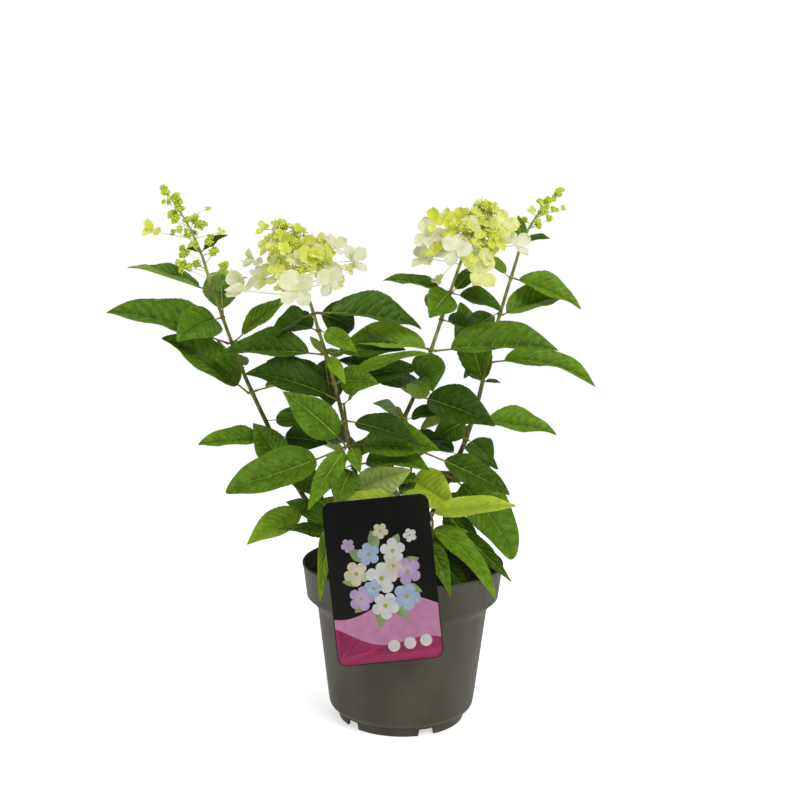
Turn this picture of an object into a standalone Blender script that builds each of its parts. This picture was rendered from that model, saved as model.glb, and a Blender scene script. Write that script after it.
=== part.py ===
"""A panicle hydrangea in its nursery pot.

Four canes rise from one short crown and carry opposite pairs of leaves, each cane ending in a
flower head.  Lower shoots fill the foot of the shrub.  The pot is whole, filled with compost,
and a picture label hooks over its front rim.

Sizes are written in millimetres and become metres in the meshes.  +Z is up, the label faces -Y,
and the origin is the middle of the pot's flat underside.
"""
import math

import bmesh
import bpy
from mathutils import Matrix, Vector

# Driving dimensions, in millimetres
POT_HEIGHT = 150.0
RIM_RADIUS = 95.0
BODY_RADIUS = 80.0
BASE_RADIUS = 68.5
FOOT_RADIUS = 59.5
WALL = 1.5
BAND_DEPTH = 34.0
SOIL_LEVEL = 136.0
CANE_FOOT_RADIUS = 2.7
CANE_TIP_RADIUS = 1.4
LEAF_THICKNESS = 0.95
LABEL_WIDTH = 92.0
LABEL_HEIGHT = 143.0

# Gaps, facets and directions that every piece shares
CLEAR = 0.3
TURNS = 28
METRES = 0.001
SLIVER = 0.02 * METRES
TWIG_TURN = 0.35
UP = Vector((0.0, 0.0, 1.0))
FRONT = Vector((0.0, -1.0, 0.0))
GOLDEN_ANGLE = math.radians(137.5)


# ---------------------------------------------------------------- scene and materials
for old in list(bpy.data.objects):
    bpy.data.objects.remove(old, do_unlink=True)

plant = bpy.data.collections.new("hydrangea_shrub")
cutters = bpy.data.collections.new("cutters")
for group in (plant, cutters):
    bpy.context.scene.collection.children.link(group)


def material(name, colour, roughness):
    made = bpy.data.materials.new(name)
    made.use_nodes = True
    shader = made.node_tree.nodes["Principled BSDF"]
    shader.inputs["Base Color"].default_value = (*colour, 1.0)
    shader.inputs["Roughness"].default_value = roughness
    shader.inputs["Metallic"].default_value = 0.0
    return made


POT_PLASTIC = material("pot_plastic", (0.098, 0.088, 0.065), 0.55)
COMPOST = material("compost", (0.012, 0.009, 0.006), 0.95)
CARD = material("label_card", (0.03, 0.02, 0.03), 0.35)
BARK = material("cane_bark", (0.16, 0.10, 0.05), 0.7)
LEAF_GREEN = material("leaf_green", (0.05, 0.12, 0.015), 0.5)
BLOSSOM = material("blossom", (0.62, 0.66, 0.30), 0.7)


# ---------------------------------------------------------------- shaping tools
def add(name, mesh, group=plant):
    thing = bpy.data.objects.new(name, mesh)
    group.objects.link(thing)
    return thing


def evaluated_mesh(thing):
    """The object's shape with its modifiers or bevel applied, in world space."""
    graph = bpy.context.evaluated_depsgraph_get()
    mesh = bpy.data.meshes.new_from_object(thing.evaluated_get(graph))
    mesh.transform(thing.matrix_world)
    return mesh


def weld(mesh):
    """Close the seams of a mesh by merging points that lie on each other."""
    shape = bmesh.new()
    shape.from_mesh(mesh)
    bmesh.ops.remove_doubles(shape, verts=shape.verts, dist=0.01 * METRES)
    shape.to_mesh(mesh)
    shape.free()
    return mesh


def drop_slivers(mesh):
    """Collapse the needle-thin faces that a union leaves where two edges almost meet."""
    shape = bmesh.new()
    shape.from_mesh(mesh)
    bmesh.ops.triangulate(shape, faces=shape.faces)
    bmesh.ops.dissolve_degenerate(shape, dist=SLIVER, edges=shape.edges)
    bmesh.ops.triangulate(shape, faces=shape.faces)
    shape.to_mesh(mesh)
    shape.free()
    return mesh


def settle(thing):
    """Swap an object for a plain mesh object of its evaluated, welded shape."""
    name = thing.name
    group = thing.users_collection[0]
    mesh = weld(evaluated_mesh(thing))
    bpy.data.objects.remove(thing, do_unlink=True)
    return add(name, mesh, group)


def smooth_rounds(thing, angle=50.0):
    thing.data.shade_smooth()
    thing.data.set_sharp_from_angle(angle=math.radians(angle))


def dress(thing, name, finish):
    thing.name = name
    thing.data.name = name
    thing.data.materials.clear()
    thing.data.materials.append(finish)
    smooth_rounds(thing)
    return thing


def fuse(name, pieces, finish, solver="EXACT"):
    """Join overlapping pieces into one closed body with one Boolean union."""
    body = pieces[0]
    joined = bpy.data.collections.new(name + "_pieces")
    bpy.context.scene.collection.children.link(joined)
    for piece in pieces[1:]:
        for group in list(piece.users_collection):
            group.objects.unlink(piece)
        joined.objects.link(piece)
    union = body.modifiers.new("union", "BOOLEAN")
    union.operation = "UNION"
    union.operand_type = "COLLECTION"
    union.collection = joined
    union.solver = solver
    mesh = drop_slivers(evaluated_mesh(body))
    for piece in list(joined.objects) + [body]:
        bpy.data.objects.remove(piece, do_unlink=True)
    bpy.data.collections.remove(joined)
    return dress(add(name, mesh), name, finish)


def turned(name, profile, steps):
    """Turn a profile of (radius, height) points about the vertical axis."""
    mesh = bpy.data.meshes.new(name)
    points = [(radius * METRES, 0.0, height * METRES) for radius, height in profile]
    links = [(i, i + 1) for i in range(len(points) - 1)]
    mesh.from_pydata(points, links, [])
    thing = add(name, mesh)
    screw = thing.modifiers.new("turn", "SCREW")
    screw.steps = steps
    screw.render_steps = steps
    screw.use_merge_vertices = True
    screw.merge_threshold = 0.0001
    return thing


def tube(name, points, radii, resolution=0):
    """A tapering round limb along points, with filled ends."""
    curve = bpy.data.curves.new(name, "CURVE")
    curve.dimensions = "3D"
    curve.bevel_depth = METRES
    curve.bevel_resolution = resolution
    curve.use_fill_caps = True
    line = curve.splines.new("POLY")
    line.points.add(len(points) - 1)
    for knot, place, radius in zip(line.points, points, radii):
        knot.co = (*(place * METRES), 1.0)
        knot.radius = radius
    return settle(add(name, curve))


def twig(name, start, end, start_radius, end_radius):
    """A straight three-sided stalk that narrows from start to end."""
    run = (end - start) * METRES
    mesh = bpy.data.meshes.new(name)
    shape = bmesh.new()
    bmesh.ops.create_cone(shape, cap_ends=True, segments=3, radius1=start_radius * METRES,
                          radius2=end_radius * METRES, depth=run.length,
                          matrix=Matrix.Rotation(TWIG_TURN, 4, "Z"))
    bmesh.ops.rotate(shape, verts=shape.verts, matrix=run.to_track_quat("Z", "Y").to_matrix())
    bmesh.ops.translate(shape, verts=shape.verts, vec=start * METRES + run / 2)
    shape.to_mesh(mesh)
    shape.free()
    return add(name, mesh)


def bead(name, centre, radius):
    """A small round body, such as a knot of buds."""
    mesh = bpy.data.meshes.new(name)
    shape = bmesh.new()
    bmesh.ops.create_uvsphere(shape, u_segments=6, v_segments=2, radius=radius * METRES)
    bmesh.ops.translate(shape, verts=shape.verts, vec=centre * METRES)
    shape.to_mesh(mesh)
    shape.free()
    return add(name, mesh)


def bend(start, middle, end, t):
    """A point on the smooth arc that leaves start towards middle and arrives at end."""
    return start * (1 - t) ** 2 + middle * (2 * t * (1 - t)) + end * t ** 2


def bend_heading(start, middle, end, t):
    return ((middle - start) * (1 - t) + (end - middle) * t).normalized()


# ---------------------------------------------------------------- pot, compost and label
def outer_wall():
    """The pot's outside, top to bottom: lip, rim band, shoulder, tapering wall and foot ring."""
    band_low = POT_HEIGHT - BAND_DEPTH
    return [
        (RIM_RADIUS - WALL, POT_HEIGHT),
        (RIM_RADIUS, POT_HEIGHT - 0.8),
        (RIM_RADIUS - 0.6, POT_HEIGHT - 4.0),
        (RIM_RADIUS - 4.5, band_low + 3.0),
        (RIM_RADIUS - 7.0, band_low),
        (BODY_RADIUS + 2.0, band_low - 7.0),
        (BODY_RADIUS, band_low - 10.0),
        (BASE_RADIUS + 1.5, 24.0),
        (BASE_RADIUS - 0.5, 15.0),
        (BASE_RADIUS - 3.5, FLOOR_TOP),
        (FOOT_RADIUS + 0.6, FLOOR_UNDERSIDE),
        (FOOT_RADIUS, 0.0),
    ]


def inner_wall():
    """The pot's inside, floor to lip, one wall thickness in from the outside."""
    band_low = POT_HEIGHT - BAND_DEPTH
    return [
        (BASE_RADIUS - 6.0, FLOOR_TOP),
        (BASE_RADIUS - 2.0, 15.0),
        (BASE_RADIUS, 24.0),
        (BODY_RADIUS - WALL, band_low - 10.0),
        (BODY_RADIUS + 0.5, band_low - 6.0),
        (RIM_RADIUS - 8.6, band_low + 1.0),
        (RIM_RADIUS - 6.0, band_low + 4.0),
        (RIM_RADIUS - 2.1, POT_HEIGHT - 4.0),
    ]


PAD_RADIUS = 16.0
FLOOR_UNDERSIDE = 7.5
FLOOR_TOP = 9.5
NOTCHES = 5
FIRST_NOTCH = math.radians(-67.0)
NOTCH_SIZE = Vector((12.0, 14.0, 8.0))
NOTCH_LIFT = 1.2


def make_pot():
    """A moulded pot whose foot ring and middle pad both stand at height 0."""
    inside = [(0.0, FLOOR_TOP)] + inner_wall()
    underside = [
        (FOOT_RADIUS - 2.5, 0.0),
        (FOOT_RADIUS - 3.5, FLOOR_UNDERSIDE),
        (PAD_RADIUS + 1.0, FLOOR_UNDERSIDE),
        (PAD_RADIUS, 0.0),
        (0.0, 0.0),
    ]
    shell = settle(turned("pot_shell", inside + outer_wall() + underside, TURNS))
    for count in range(NOTCHES):
        angle = FIRST_NOTCH + count * math.tau / NOTCHES
        notch = bpy.data.meshes.new("drain_notch")
        shape = bmesh.new()
        bmesh.ops.create_cube(shape, size=1.0)
        bmesh.ops.scale(shape, verts=shape.verts, vec=NOTCH_SIZE * METRES)
        shape.to_mesh(notch)
        shape.free()
        cutter = add(f"drain_notch_{count}", notch, cutters)
        reach = FOOT_RADIUS * METRES
        cutter.location = (reach * math.cos(angle), reach * math.sin(angle),
                           NOTCH_LIFT * METRES)
        cutter.rotation_euler = (0.0, 0.0, angle)
        cutter.hide_render = True
        cutter.display_type = "WIRE"
        cut = shell.modifiers.new(f"notch_{count}", "BOOLEAN")
        cut.operation = "DIFFERENCE"
        cut.object = cutter
    dress(shell, "pot", POT_PLASTIC)


def make_compost():
    """The filled root ball, a hair clear of the pot all round, slightly domed on top."""
    sides = [(radius - CLEAR - 0.2, height) for radius, height in inner_wall()]
    below_surface = [point for point in sides if point[1] < SOIL_LEVEL - 4.0]
    edge = (RIM_RADIUS - 6.0, SOIL_LEVEL - 3.0)
    base = (below_surface[0][0], FLOOR_TOP + CLEAR)
    profile = [(0.0, SOIL_LEVEL), (40.0, SOIL_LEVEL - 0.6), edge]
    profile += list(reversed(below_surface[1:])) + [base, (0.0, base[1])]
    dress(settle(turned("root_ball", profile, TURNS)), "root_ball", COMPOST)


LABEL_PLACE = Vector((-17.4, -97.2, 157.0))
LABEL_TURN = math.radians(6.5)
LABEL_LEAN = math.radians(4.0)
LABEL_CORNER = 8.0
LABEL_SHEET = 0.8
HOOK_HALF_WIDTH = 8.0


def make_label():
    """A card that hangs in front of the rim from a hook moulded on its back."""
    half_x = LABEL_WIDTH / 2 - LABEL_CORNER
    half_y = LABEL_HEIGHT / 2 - LABEL_CORNER
    outline = []
    for corner, (side_x, side_y) in enumerate([(1, 1), (-1, 1), (-1, -1), (1, -1)]):
        for step in range(4):
            angle = (corner + step / 3) * math.pi / 2
            outline.append((side_x * half_x + LABEL_CORNER * math.cos(angle),
                            side_y * half_y + LABEL_CORNER * math.sin(angle)))
    curve = bpy.data.curves.new("card", "CURVE")
    curve.dimensions = "2D"
    curve.fill_mode = "BOTH"
    curve.extrude = LABEL_SHEET / 2 * METRES
    edge = curve.splines.new("POLY")
    edge.points.add(len(outline) - 1)
    edge.use_cyclic_u = True
    for knot, (across, along) in zip(edge.points, outline):
        knot.co = (across * METRES, along * METRES, 0.0, 1.0)
    card = add("card", curve)
    card.rotation_euler = (math.pi / 2 - LABEL_LEAN, -LABEL_TURN, 0.0)
    card.location = LABEL_PLACE * METRES
    bpy.context.view_layer.update()
    card = settle(card)

    front = LABEL_PLACE.y
    path = [(front + 1.0, 168.0), (front + 2.4, 172.0), (front + 5.6, 172.0),
            (front + 7.6, 167.0), (front + 9.8, 139.5)]
    hook = bpy.data.meshes.new("hook")
    shape = bmesh.new()
    left = LABEL_PLACE.x - HOOK_HALF_WIDTH
    knots = [shape.verts.new(Vector((left, depth, height)) * METRES) for depth, height in path]
    edges = [shape.edges.new(pair) for pair in zip(knots, knots[1:])]
    swept = bmesh.ops.extrude_edge_only(shape, edges=edges)["geom"]
    moved = [part for part in swept if isinstance(part, bmesh.types.BMVert)]
    bmesh.ops.translate(shape, verts=moved, vec=(2 * HOOK_HALF_WIDTH * METRES, 0.0, 0.0))
    shape.to_mesh(hook)
    shape.free()
    hook = add("hook", hook)
    wall = hook.modifiers.new("sheet", "SOLIDIFY")
    wall.thickness = LABEL_SHEET * METRES
    wall.offset = 0.0
    fuse("plant_label", [card, settle(hook)], CARD)


# ---------------------------------------------------------------- canes
def cane_centre(guides, height):
    """The point at a height on the smooth line through a cane's guide points."""
    last = len(guides) - 2
    span = 0
    while span < last and height > guides[span + 1][2]:
        span += 1
    low, high = Vector(guides[span]), Vector(guides[span + 1])
    before = Vector(guides[max(span - 1, 0)])
    after = Vector(guides[min(span + 2, last + 1)])
    rise = high.z - low.z
    slope_low = (high - before) / (high.z - before.z) * rise
    slope_high = (after - low) / (after.z - low.z) * rise
    t = (height - low.z) / rise
    point = (low * (2 * t ** 3 - 3 * t ** 2 + 1) + slope_low * (t ** 3 - 2 * t ** 2 + t)
             + high * (3 * t ** 2 - 2 * t ** 3) + slope_high * (t ** 3 - t ** 2))
    point.z = height
    return point


def cane_heading(guides, height):
    top = min(height + 2.0, guides[-1][2])
    return (cane_centre(guides, top) - cane_centre(guides, top - 4.0)).normalized()


def cane_radius(guides, height):
    share = (height - guides[0][2]) / (guides[-1][2] - guides[0][2])
    return CANE_FOOT_RADIUS + (CANE_TIP_RADIUS - CANE_FOOT_RADIUS) * share


CANE_STEPS = 3
CROWN_PLACE = Vector((-14.0, 2.0, 0.0))


def make_cane(name, guides):
    points, radii = [], []
    for low, high in zip(guides, guides[1:]):
        for step in range(CANE_STEPS):
            height = low[2] + (high[2] - low[2]) * step / CANE_STEPS
            points.append(cane_centre(guides, height))
            radii.append(cane_radius(guides, height))
    points.append(Vector(guides[-1]))
    radii.append(CANE_TIP_RADIUS)
    dress(tube(name, points, radii, resolution=1), name, BARK)


def make_crown(feet):
    """The short woody foot of the shrub, cut flat at the compost, with a stub for each limb."""
    base = SOIL_LEVEL + CLEAR
    profile = [(0.0, base + 9.0), (5.0, base + 8.5), (7.5, base + 4.0), (10.5, base), (0.0, base)]
    stock = turned("stock", profile, 12)
    stock.location = CROWN_PLACE * METRES
    bpy.context.view_layer.update()
    pieces = [settle(stock)]
    root = CROWN_PLACE + UP * (base + 4.0)
    for count, (foot, heading, radius) in enumerate(feet):
        end = foot - heading * CLEAR
        stub = [root, end - heading * 2.0, end]
        pieces.append(tube(f"stub_{count}", stub, [radius + 1.2, radius, radius]))
    fuse("root_crown", pieces, BARK)


# ---------------------------------------------------------------- leaves
LONG_LEAF = 75.0
LEAF_FOLD = math.radians(16.0)
STALK_SUNK = 0.16
STALK_RADII = (1.3, 0.35)


def leaf(x, y, z, roll=40.0, width=0.5, arch=0.09, stalk=0.13):
    """One leaf: where its tip lies from its node, and how the blade is held."""
    return {"reach": Vector((x, y, z)), "roll": roll, "width": width, "arch": arch,
            "stalk": stalk}


def blade_outline(t):
    """Half the blade's width at t from base to tip, as a share of its greatest half width."""
    return math.sin(math.pi * t ** 0.75) ** 0.7


def face_normal(heading, roll):
    """Straight up for roll 0, and turned about the leaf's own line towards the front above it."""
    front = (FRONT - heading * FRONT.dot(heading)).normalized()
    mixed = UP * math.cos(math.radians(roll)) + front * math.sin(math.radians(roll))
    return (mixed - heading * mixed.dot(heading)).normalized()


def make_leaf(name, start, spec):
    """A stalk and a folded, arching blade that share one bend from the node to the tip."""
    end = start + spec["reach"]
    length = spec["reach"].length
    middle = start.lerp(end, 0.5) + UP * (spec["arch"] * length)
    foot = spec["stalk"]
    blade_length = length * (1 - foot)
    half_width = spec["width"] * blade_length / 2

    mesh = bpy.data.meshes.new(name)
    shape = bmesh.new()
    steps = 5 if length > LONG_LEAF else 4
    bmesh.ops.create_grid(shape, x_segments=steps, y_segments=2, size=0.5)
    for knot in shape.verts:
        t = knot.co.x + 0.5
        side = knot.co.y * 2
        along = foot + (1 - foot) * t
        heading = bend_heading(start, middle, end, along)
        normal = face_normal(heading, spec["roll"])
        across = heading.cross(normal)
        reach = blade_outline(t) * half_width
        place = bend(start, middle, end, along)
        place += across * (side * reach * math.cos(LEAF_FOLD))
        place += normal * (abs(side) * reach * math.sin(LEAF_FOLD))
        knot.co = place * METRES
    bmesh.ops.remove_doubles(shape, verts=shape.verts, dist=0.01 * METRES)
    bmesh.ops.recalc_face_normals(shape, faces=shape.faces)
    shape.to_mesh(mesh)
    shape.free()
    blade = add(name, mesh)
    sheet = blade.modifiers.new("thickness", "SOLIDIFY")
    sheet.thickness = LEAF_THICKNESS * METRES
    sheet.offset = 0.0
    blade = settle(blade)

    sunk = bend(start, middle, end, foot + STALK_SUNK)
    stalk = twig(name + "_stalk", start, sunk, *STALK_RADII)
    return [stalk, blade]


RING_SIDES = 6
RING_THICK = 0.9


def make_pair(name, guides, height, specs):
    """A ring a hair clear of the cane at one node, with the leaves that grow from it."""
    centre = cane_centre(guides, height)
    heading = cane_heading(guides, height)
    clear_radius = cane_radius(guides, height) + CLEAR + RING_THICK
    ring_radius = clear_radius / math.cos(math.pi / RING_SIDES)
    bpy.ops.mesh.primitive_torus_add(
        major_segments=RING_SIDES, minor_segments=3, major_radius=ring_radius * METRES,
        minor_radius=RING_THICK * METRES, location=centre * METRES,
        rotation=heading.to_track_quat("Z", "Y").to_euler())
    ring = bpy.context.object
    for group in list(ring.users_collection):
        group.objects.unlink(ring)
    plant.objects.link(ring)
    pieces = [settle(ring)]
    for count, spec in enumerate(specs):
        out = spec["reach"] - heading * spec["reach"].dot(heading)
        start = centre + out.normalized() * ring_radius
        pieces += make_leaf(f"{name}_leaf_{count}", start, spec)
    fuse(name, pieces, LEAF_GREEN)


# ---------------------------------------------------------------- shoots and flower heads
SHOOT_RADII = (1.6, 1.5, 1.4, 1.3, 1.2, 1.1)
HEAD_RADII = (1.4, 1.3, 1.1, 0.9, 0.7)


def make_shoot(name, guides, pairs):
    """A thin low stem with its leaf pairs fused on, growing from the crown."""
    foot, top = guides[0][2], guides[-1][2]
    steps = len(SHOOT_RADII) - 1
    points = [cane_centre(guides, foot + (top - foot) * step / steps)
              for step in range(steps + 1)]
    pieces = [tube(name + "_stem", points, SHOOT_RADII)]
    for count, (height, *specs) in enumerate(pairs):
        for side, spec in enumerate(specs):
            start = cane_centre(guides, height) + spec["reach"].normalized() * 0.7
            pieces += make_leaf(f"{name}_{count}_{side}", start, spec)
    fuse(name, pieces, LEAF_GREEN)


def ruled_pairs(guides, lowest, count, length, outward):
    """Pairs of leaves up a shoot, by turns wide apart and close, on its open side."""
    top = guides[-1][2]
    pairs = []
    for step in range(count):
        share = step / (count - 1)
        size = length * (1 - 0.3 * share)
        spread = 60 if step % 2 == 0 else 28
        specs = []
        for side in (-1, 1):
            angle = math.radians(outward + side * (spread + 6 * math.sin(5 * step + side)))
            rise = size * (0.1 + 0.3 * share)
            specs.append(leaf(size * math.cos(angle), size * math.sin(angle), rise, roll=-40))
        pairs.append((lowest + (top - 1.5 - lowest) * share, *specs))
    return pairs


FLORET_POINTS = 12
FLORET_THICKNESS = 0.7
FLORET_NOTCH = 0.62
FLORET_CUP = 0.18


def make_floret(name, root, centre, size, outward):
    """A stalk that ends in four broad sepals, drawn as one blade of four round lobes."""
    normal = outward.normalized()
    first = normal.orthogonal().normalized()
    second = normal.cross(first)
    mesh = bpy.data.meshes.new(name)
    shape = bmesh.new()
    bmesh.ops.create_circle(shape, cap_ends=True, cap_tris=True, segments=FLORET_POINTS,
                            radius=1.0)
    for knot in shape.verts:
        angle = math.atan2(knot.co.y, knot.co.x)
        notch = abs(math.sin(2 * angle)) < 0.1
        reach = knot.co.length * (FLORET_NOTCH if notch else 1.0) * size / 2
        angle -= 0.11 * math.sin(4 * angle)
        across = first * math.cos(angle) + second * math.sin(angle)
        knot.co = (centre + across * reach + normal * (reach * FLORET_CUP)) * METRES
    shape.to_mesh(mesh)
    shape.free()
    blade = add(name, mesh)
    sheet = blade.modifiers.new("thickness", "SOLIDIFY")
    sheet.thickness = FLORET_THICKNESS * METRES
    sheet.offset = 0.0
    sunk = centre + normal * 0.25
    stalk = twig(name + "_stalk", root, sunk, 1.1, 0.8)
    return [stalk, settle(blade)]


def make_head(name, guides, head):
    """A flower head: a stem from the cane's tip, bud knots on side twigs, florets and bracts."""
    heading = cane_heading(guides, guides[-1][2])
    tip = Vector(guides[-1])
    foot = tip + heading * CLEAR
    apex = tip + Vector(head["apex"])
    middle = foot + heading * (apex - foot).length * 0.5 + Vector(head["sway"])
    steps = len(HEAD_RADII) - 1
    points = [bend(foot, middle, apex, step / steps) for step in range(steps + 1)]
    pieces = [tube(name + "_stem", points, HEAD_RADII)]
    twigs = head["twigs"]
    for count in range(twigs):
        share = count / (twigs - 1)
        along = head["lowest"] + (0.97 - head["lowest"]) * share
        root = bend(foot, middle, apex, along)
        angle = GOLDEN_ANGLE * count
        reach = head["reach"] * (1 - share) ** 0.6 * (0.75 + 0.25 * math.sin(3 * count))
        sideways = Vector((math.cos(angle), math.sin(angle), 0.0)) * max(reach, 1.0)
        end = root + sideways + UP * (0.25 * reach + 1.0)
        knot = head["knot"] * (1 - 0.35 * share)
        pieces.append(twig(f"{name}_twig_{count}", root, end, 1.0, 0.8))
        pieces.append(bead(f"{name}_knot_{count}", end, knot))
    pieces.append(bead(name + "_apex", apex, head["knot"] * 0.6))
    for count, (x, y, z, size) in enumerate(head["florets"]):
        centre = tip + Vector((x, y, z))
        share = min(max((z - 8.0) / (apex - tip).z, 0.08), 0.8)
        root = bend(foot, middle, apex, share + 0.012 * count)
        sideways = Vector((centre.x - root.x, centre.y - root.y, 0.0)).normalized()
        outward = sideways * 0.6 + UP * 0.6 + FRONT * (0.7 if y < 8.0 else -0.7)
        pieces += make_floret(f"{name}_floret_{count}", root, centre, size, outward)
    for count, (share, spec) in enumerate(head["bracts"]):
        pieces += make_leaf(f"{name}_bract_{count}", bend(foot, middle, apex, share), spec)
    fuse(name, pieces, BLOSSOM, solver="MANIFOLD")


# ---------------------------------------------------------------- canes and their leaves
CANES = {
    "left": {
        "guides": [(-22, 4, 150), (-60, 13, 166), (-104, 20, 218), (-133, 24, 278),
                   (-155, 27, 325), (-187, 31, 410)],
        "pairs": [
            (195, leaf(-56, -28, -27, roll=60), leaf(18, -42, -18)),
            (232, leaf(-32, 62, 12, roll=-30), leaf(37, -46, -20)),
            (262, leaf(-71, -5, 1, arch=0.03), leaf(32, -45, -12, roll=60)),
            (305, leaf(-82, -15, 50), leaf(68, 20, 11, roll=0)),
            (328, leaf(-34, 76, 13, roll=-30), leaf(16, -60, -24)),
            (352, leaf(-112, -15, 29), leaf(54, 10, 44)),
            (376, leaf(-40, -52, -12, roll=60), leaf(-20, 68, 46)),
            (402, leaf(-80, 10, 24, roll=10, width=0.4, arch=0.05), leaf(29, 15, 12, roll=10)),
        ],
    },
    "front": {
        "guides": [(-17, -5, 152), (-38, -13, 205), (-51, -20, 265), (-65, -27, 322),
                   (-85, -38, 391)],
        "pairs": [
            (228, leaf(-6, -42, -12), leaf(30, 34, 0, roll=-40)),
            (243, leaf(-42, -14, -34), leaf(42, -32, 5)),
            (262, leaf(58, -30, 10), leaf(-109, -25, -39, roll=60, arch=-0.02, stalk=0.25)),
            (285, leaf(-52, -30, 30), leaf(69, -40, 3)),
            (320, leaf(-82, -15, 13), leaf(83, -25, 31)),
            (347, leaf(-95, 10, 0), leaf(-6, 80, -6, roll=-40)),
            (368, leaf(31, -30, -12), leaf(-38, 50, 2)),
            (383, leaf(96, 22, -12, arch=0.16), leaf(-48, 26, -14)),
        ],
    },
    "middle": {
        "guides": [(-13, 2, 152), (-17, 3, 200), (-5, 0, 272), (13, -5, 318), (46, -16, 422)],
        "pairs": [
            (236, leaf(58, -62, -17), leaf(9, 80, -8, roll=-40)),
            (262, leaf(47, 9, 2), leaf(-49, 24, -23)),
            (286, leaf(-24, -10, 16), leaf(29, -15, 8)),
            (308, leaf(-69, 10, 31), leaf(70, -30, -22, roll=60, width=0.6)),
            (322, leaf(-10, 56, 30), leaf(22, -40, -14, width=0.6)),
            (350, leaf(-80, 15, 2), leaf(115, 0, 5)),
            (378, leaf(-10, 52, 27), leaf(24, -50, -15)),
            (403, leaf(-59, 10, 11), leaf(45, -10, -15)),
        ],
    },
    "right": {
        "guides": [(-6, 5, 150), (16, 12, 172), (44, 22, 226), (66, 31, 282), (84, 40, 358),
                   (108, 50, 441)],
        "pairs": [
            (200, leaf(64, -63, -54, width=0.4), leaf(36, 26, 8, roll=-20)),
            (226, leaf(70, -17, -78, width=0.42, arch=0.2), leaf(57, 38, -22)),
            (246, leaf(46, -26, -26), leaf(-28, 19, 22)),
            (262, leaf(21, -40, -15), leaf(12, 62, 10, roll=-40)),
            (280, leaf(80, 5, -11), leaf(-30, 30, 16)),
            (336, leaf(102, -10, -19), leaf(-27, 20, 15)),
            (382, leaf(63, 20, 19), leaf(-38, -30, -24)),
            (417, leaf(65, -10, -27), leaf(-23, 15, 20)),
        ],
    },
}

HEADS = {
    "left": {
        "apex": (-44, 5, 87), "sway": (7, 0, 0),
        "lowest": 0.05, "twigs": 14, "reach": 20.0, "knot": 4.2,
        "florets": [(-52, -8, 47, 17.0), (15, -4, 48, 10.0), (-22, 8, 12, 12.0)],
        "bracts": [(0.3, leaf(-14, 2, 4)), (0.3, leaf(26, -5, 17))],
    },
    "front": {
        "apex": (-26, -10, 75), "sway": (-2, 0, 0),
        "lowest": 0.25, "twigs": 16, "reach": 33.0, "knot": 7.2,
        "florets": [(-52, 0, 37, 28.0), (-67, -5, 13, 34.0), (-8, -36, 13, 40.0),
                    (19, -26, 21, 32.0), (20, 5, 51, 26.0), (37, 5, 39, 30.0),
                    (-20, 34, 20, 34.0), (12, 36, 28, 34.0), (-45, 25, 22, 30.0)],
        "bracts": [],
    },
    "middle": {
        "apex": (22, -6, 66), "sway": (0, 0, 0),
        "lowest": 0.2, "twigs": 16, "reach": 30.0, "knot": 7.0,
        "florets": [(-23, -5, 44, 24.0), (-26, -12, 28, 26.0), (-32, 8, 11, 24.0),
                    (-4, -34, 19, 34.0), (39, -5, 42, 28.0), (51, 0, 23, 30.0),
                    (16, -22, -1, 30.0), (-10, 35, 20, 32.0), (22, 33, 18, 32.0),
                    (40, 24, 32, 28.0)],
        "bracts": [],
    },
    "right": {
        "apex": (40, 6, 60), "sway": (0, 0, 0),
        "lowest": 0.35, "twigs": 10, "reach": 12.0, "knot": 3.8,
        "florets": [(17, -5, 47, 10.0)],
        "bracts": [(0.1, leaf(-4, -8, 28, roll=80)), (0.15, leaf(26, -4, 4))],
    },
}

# Low shoots whose leaves are placed one by one.
SHOOTS = {
    "low_right": {
        "guides": [(-5, -5, 148), (12, -22, 166), (26, -32, 187)],
        "pairs": [(170, leaf(26, -72, -26, width=0.36, arch=0.3), leaf(-10, -40, -2)),
                  (186, leaf(80, -13, 28), leaf(60, -40, -50, width=0.3, arch=0.3))],
    },
    "low_front": {
        "guides": [(-14, -7, 147), (-8, -28, 180), (-4, -40, 208)],
        "pairs": [(192, leaf(28, -22, -8), leaf(-30, -10, 16)),
                  (207, leaf(-40, -12, 8), leaf(18, -14, 26))],
    },
    "low_left": {
        "guides": [(-23, -2, 147), (-46, -24, 166), (-64, -40, 190)],
        "pairs": [(176, leaf(20, -30, 8), leaf(-34, -6, 10)),
                  (189, leaf(-12, -36, -65, width=0.3, arch=0.6), leaf(6, 8, 30))],
    },
}

# Shoots at the back of the shrub, whose leaves follow one rule.
RULED_SHOOTS = {
    "back_left": {
        "guides": [(-20, 9, 147), (-42, 48, 205), (-58, 74, 290)],
        "lowest": 183, "count": 3, "length": 74, "outward": 118,
    },
    "back_right": {
        "guides": [(-8, 10, 147), (4, 50, 195), (10, 84, 260)],
        "lowest": 206, "count": 3, "length": 70, "outward": 70,
    },
}


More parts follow.
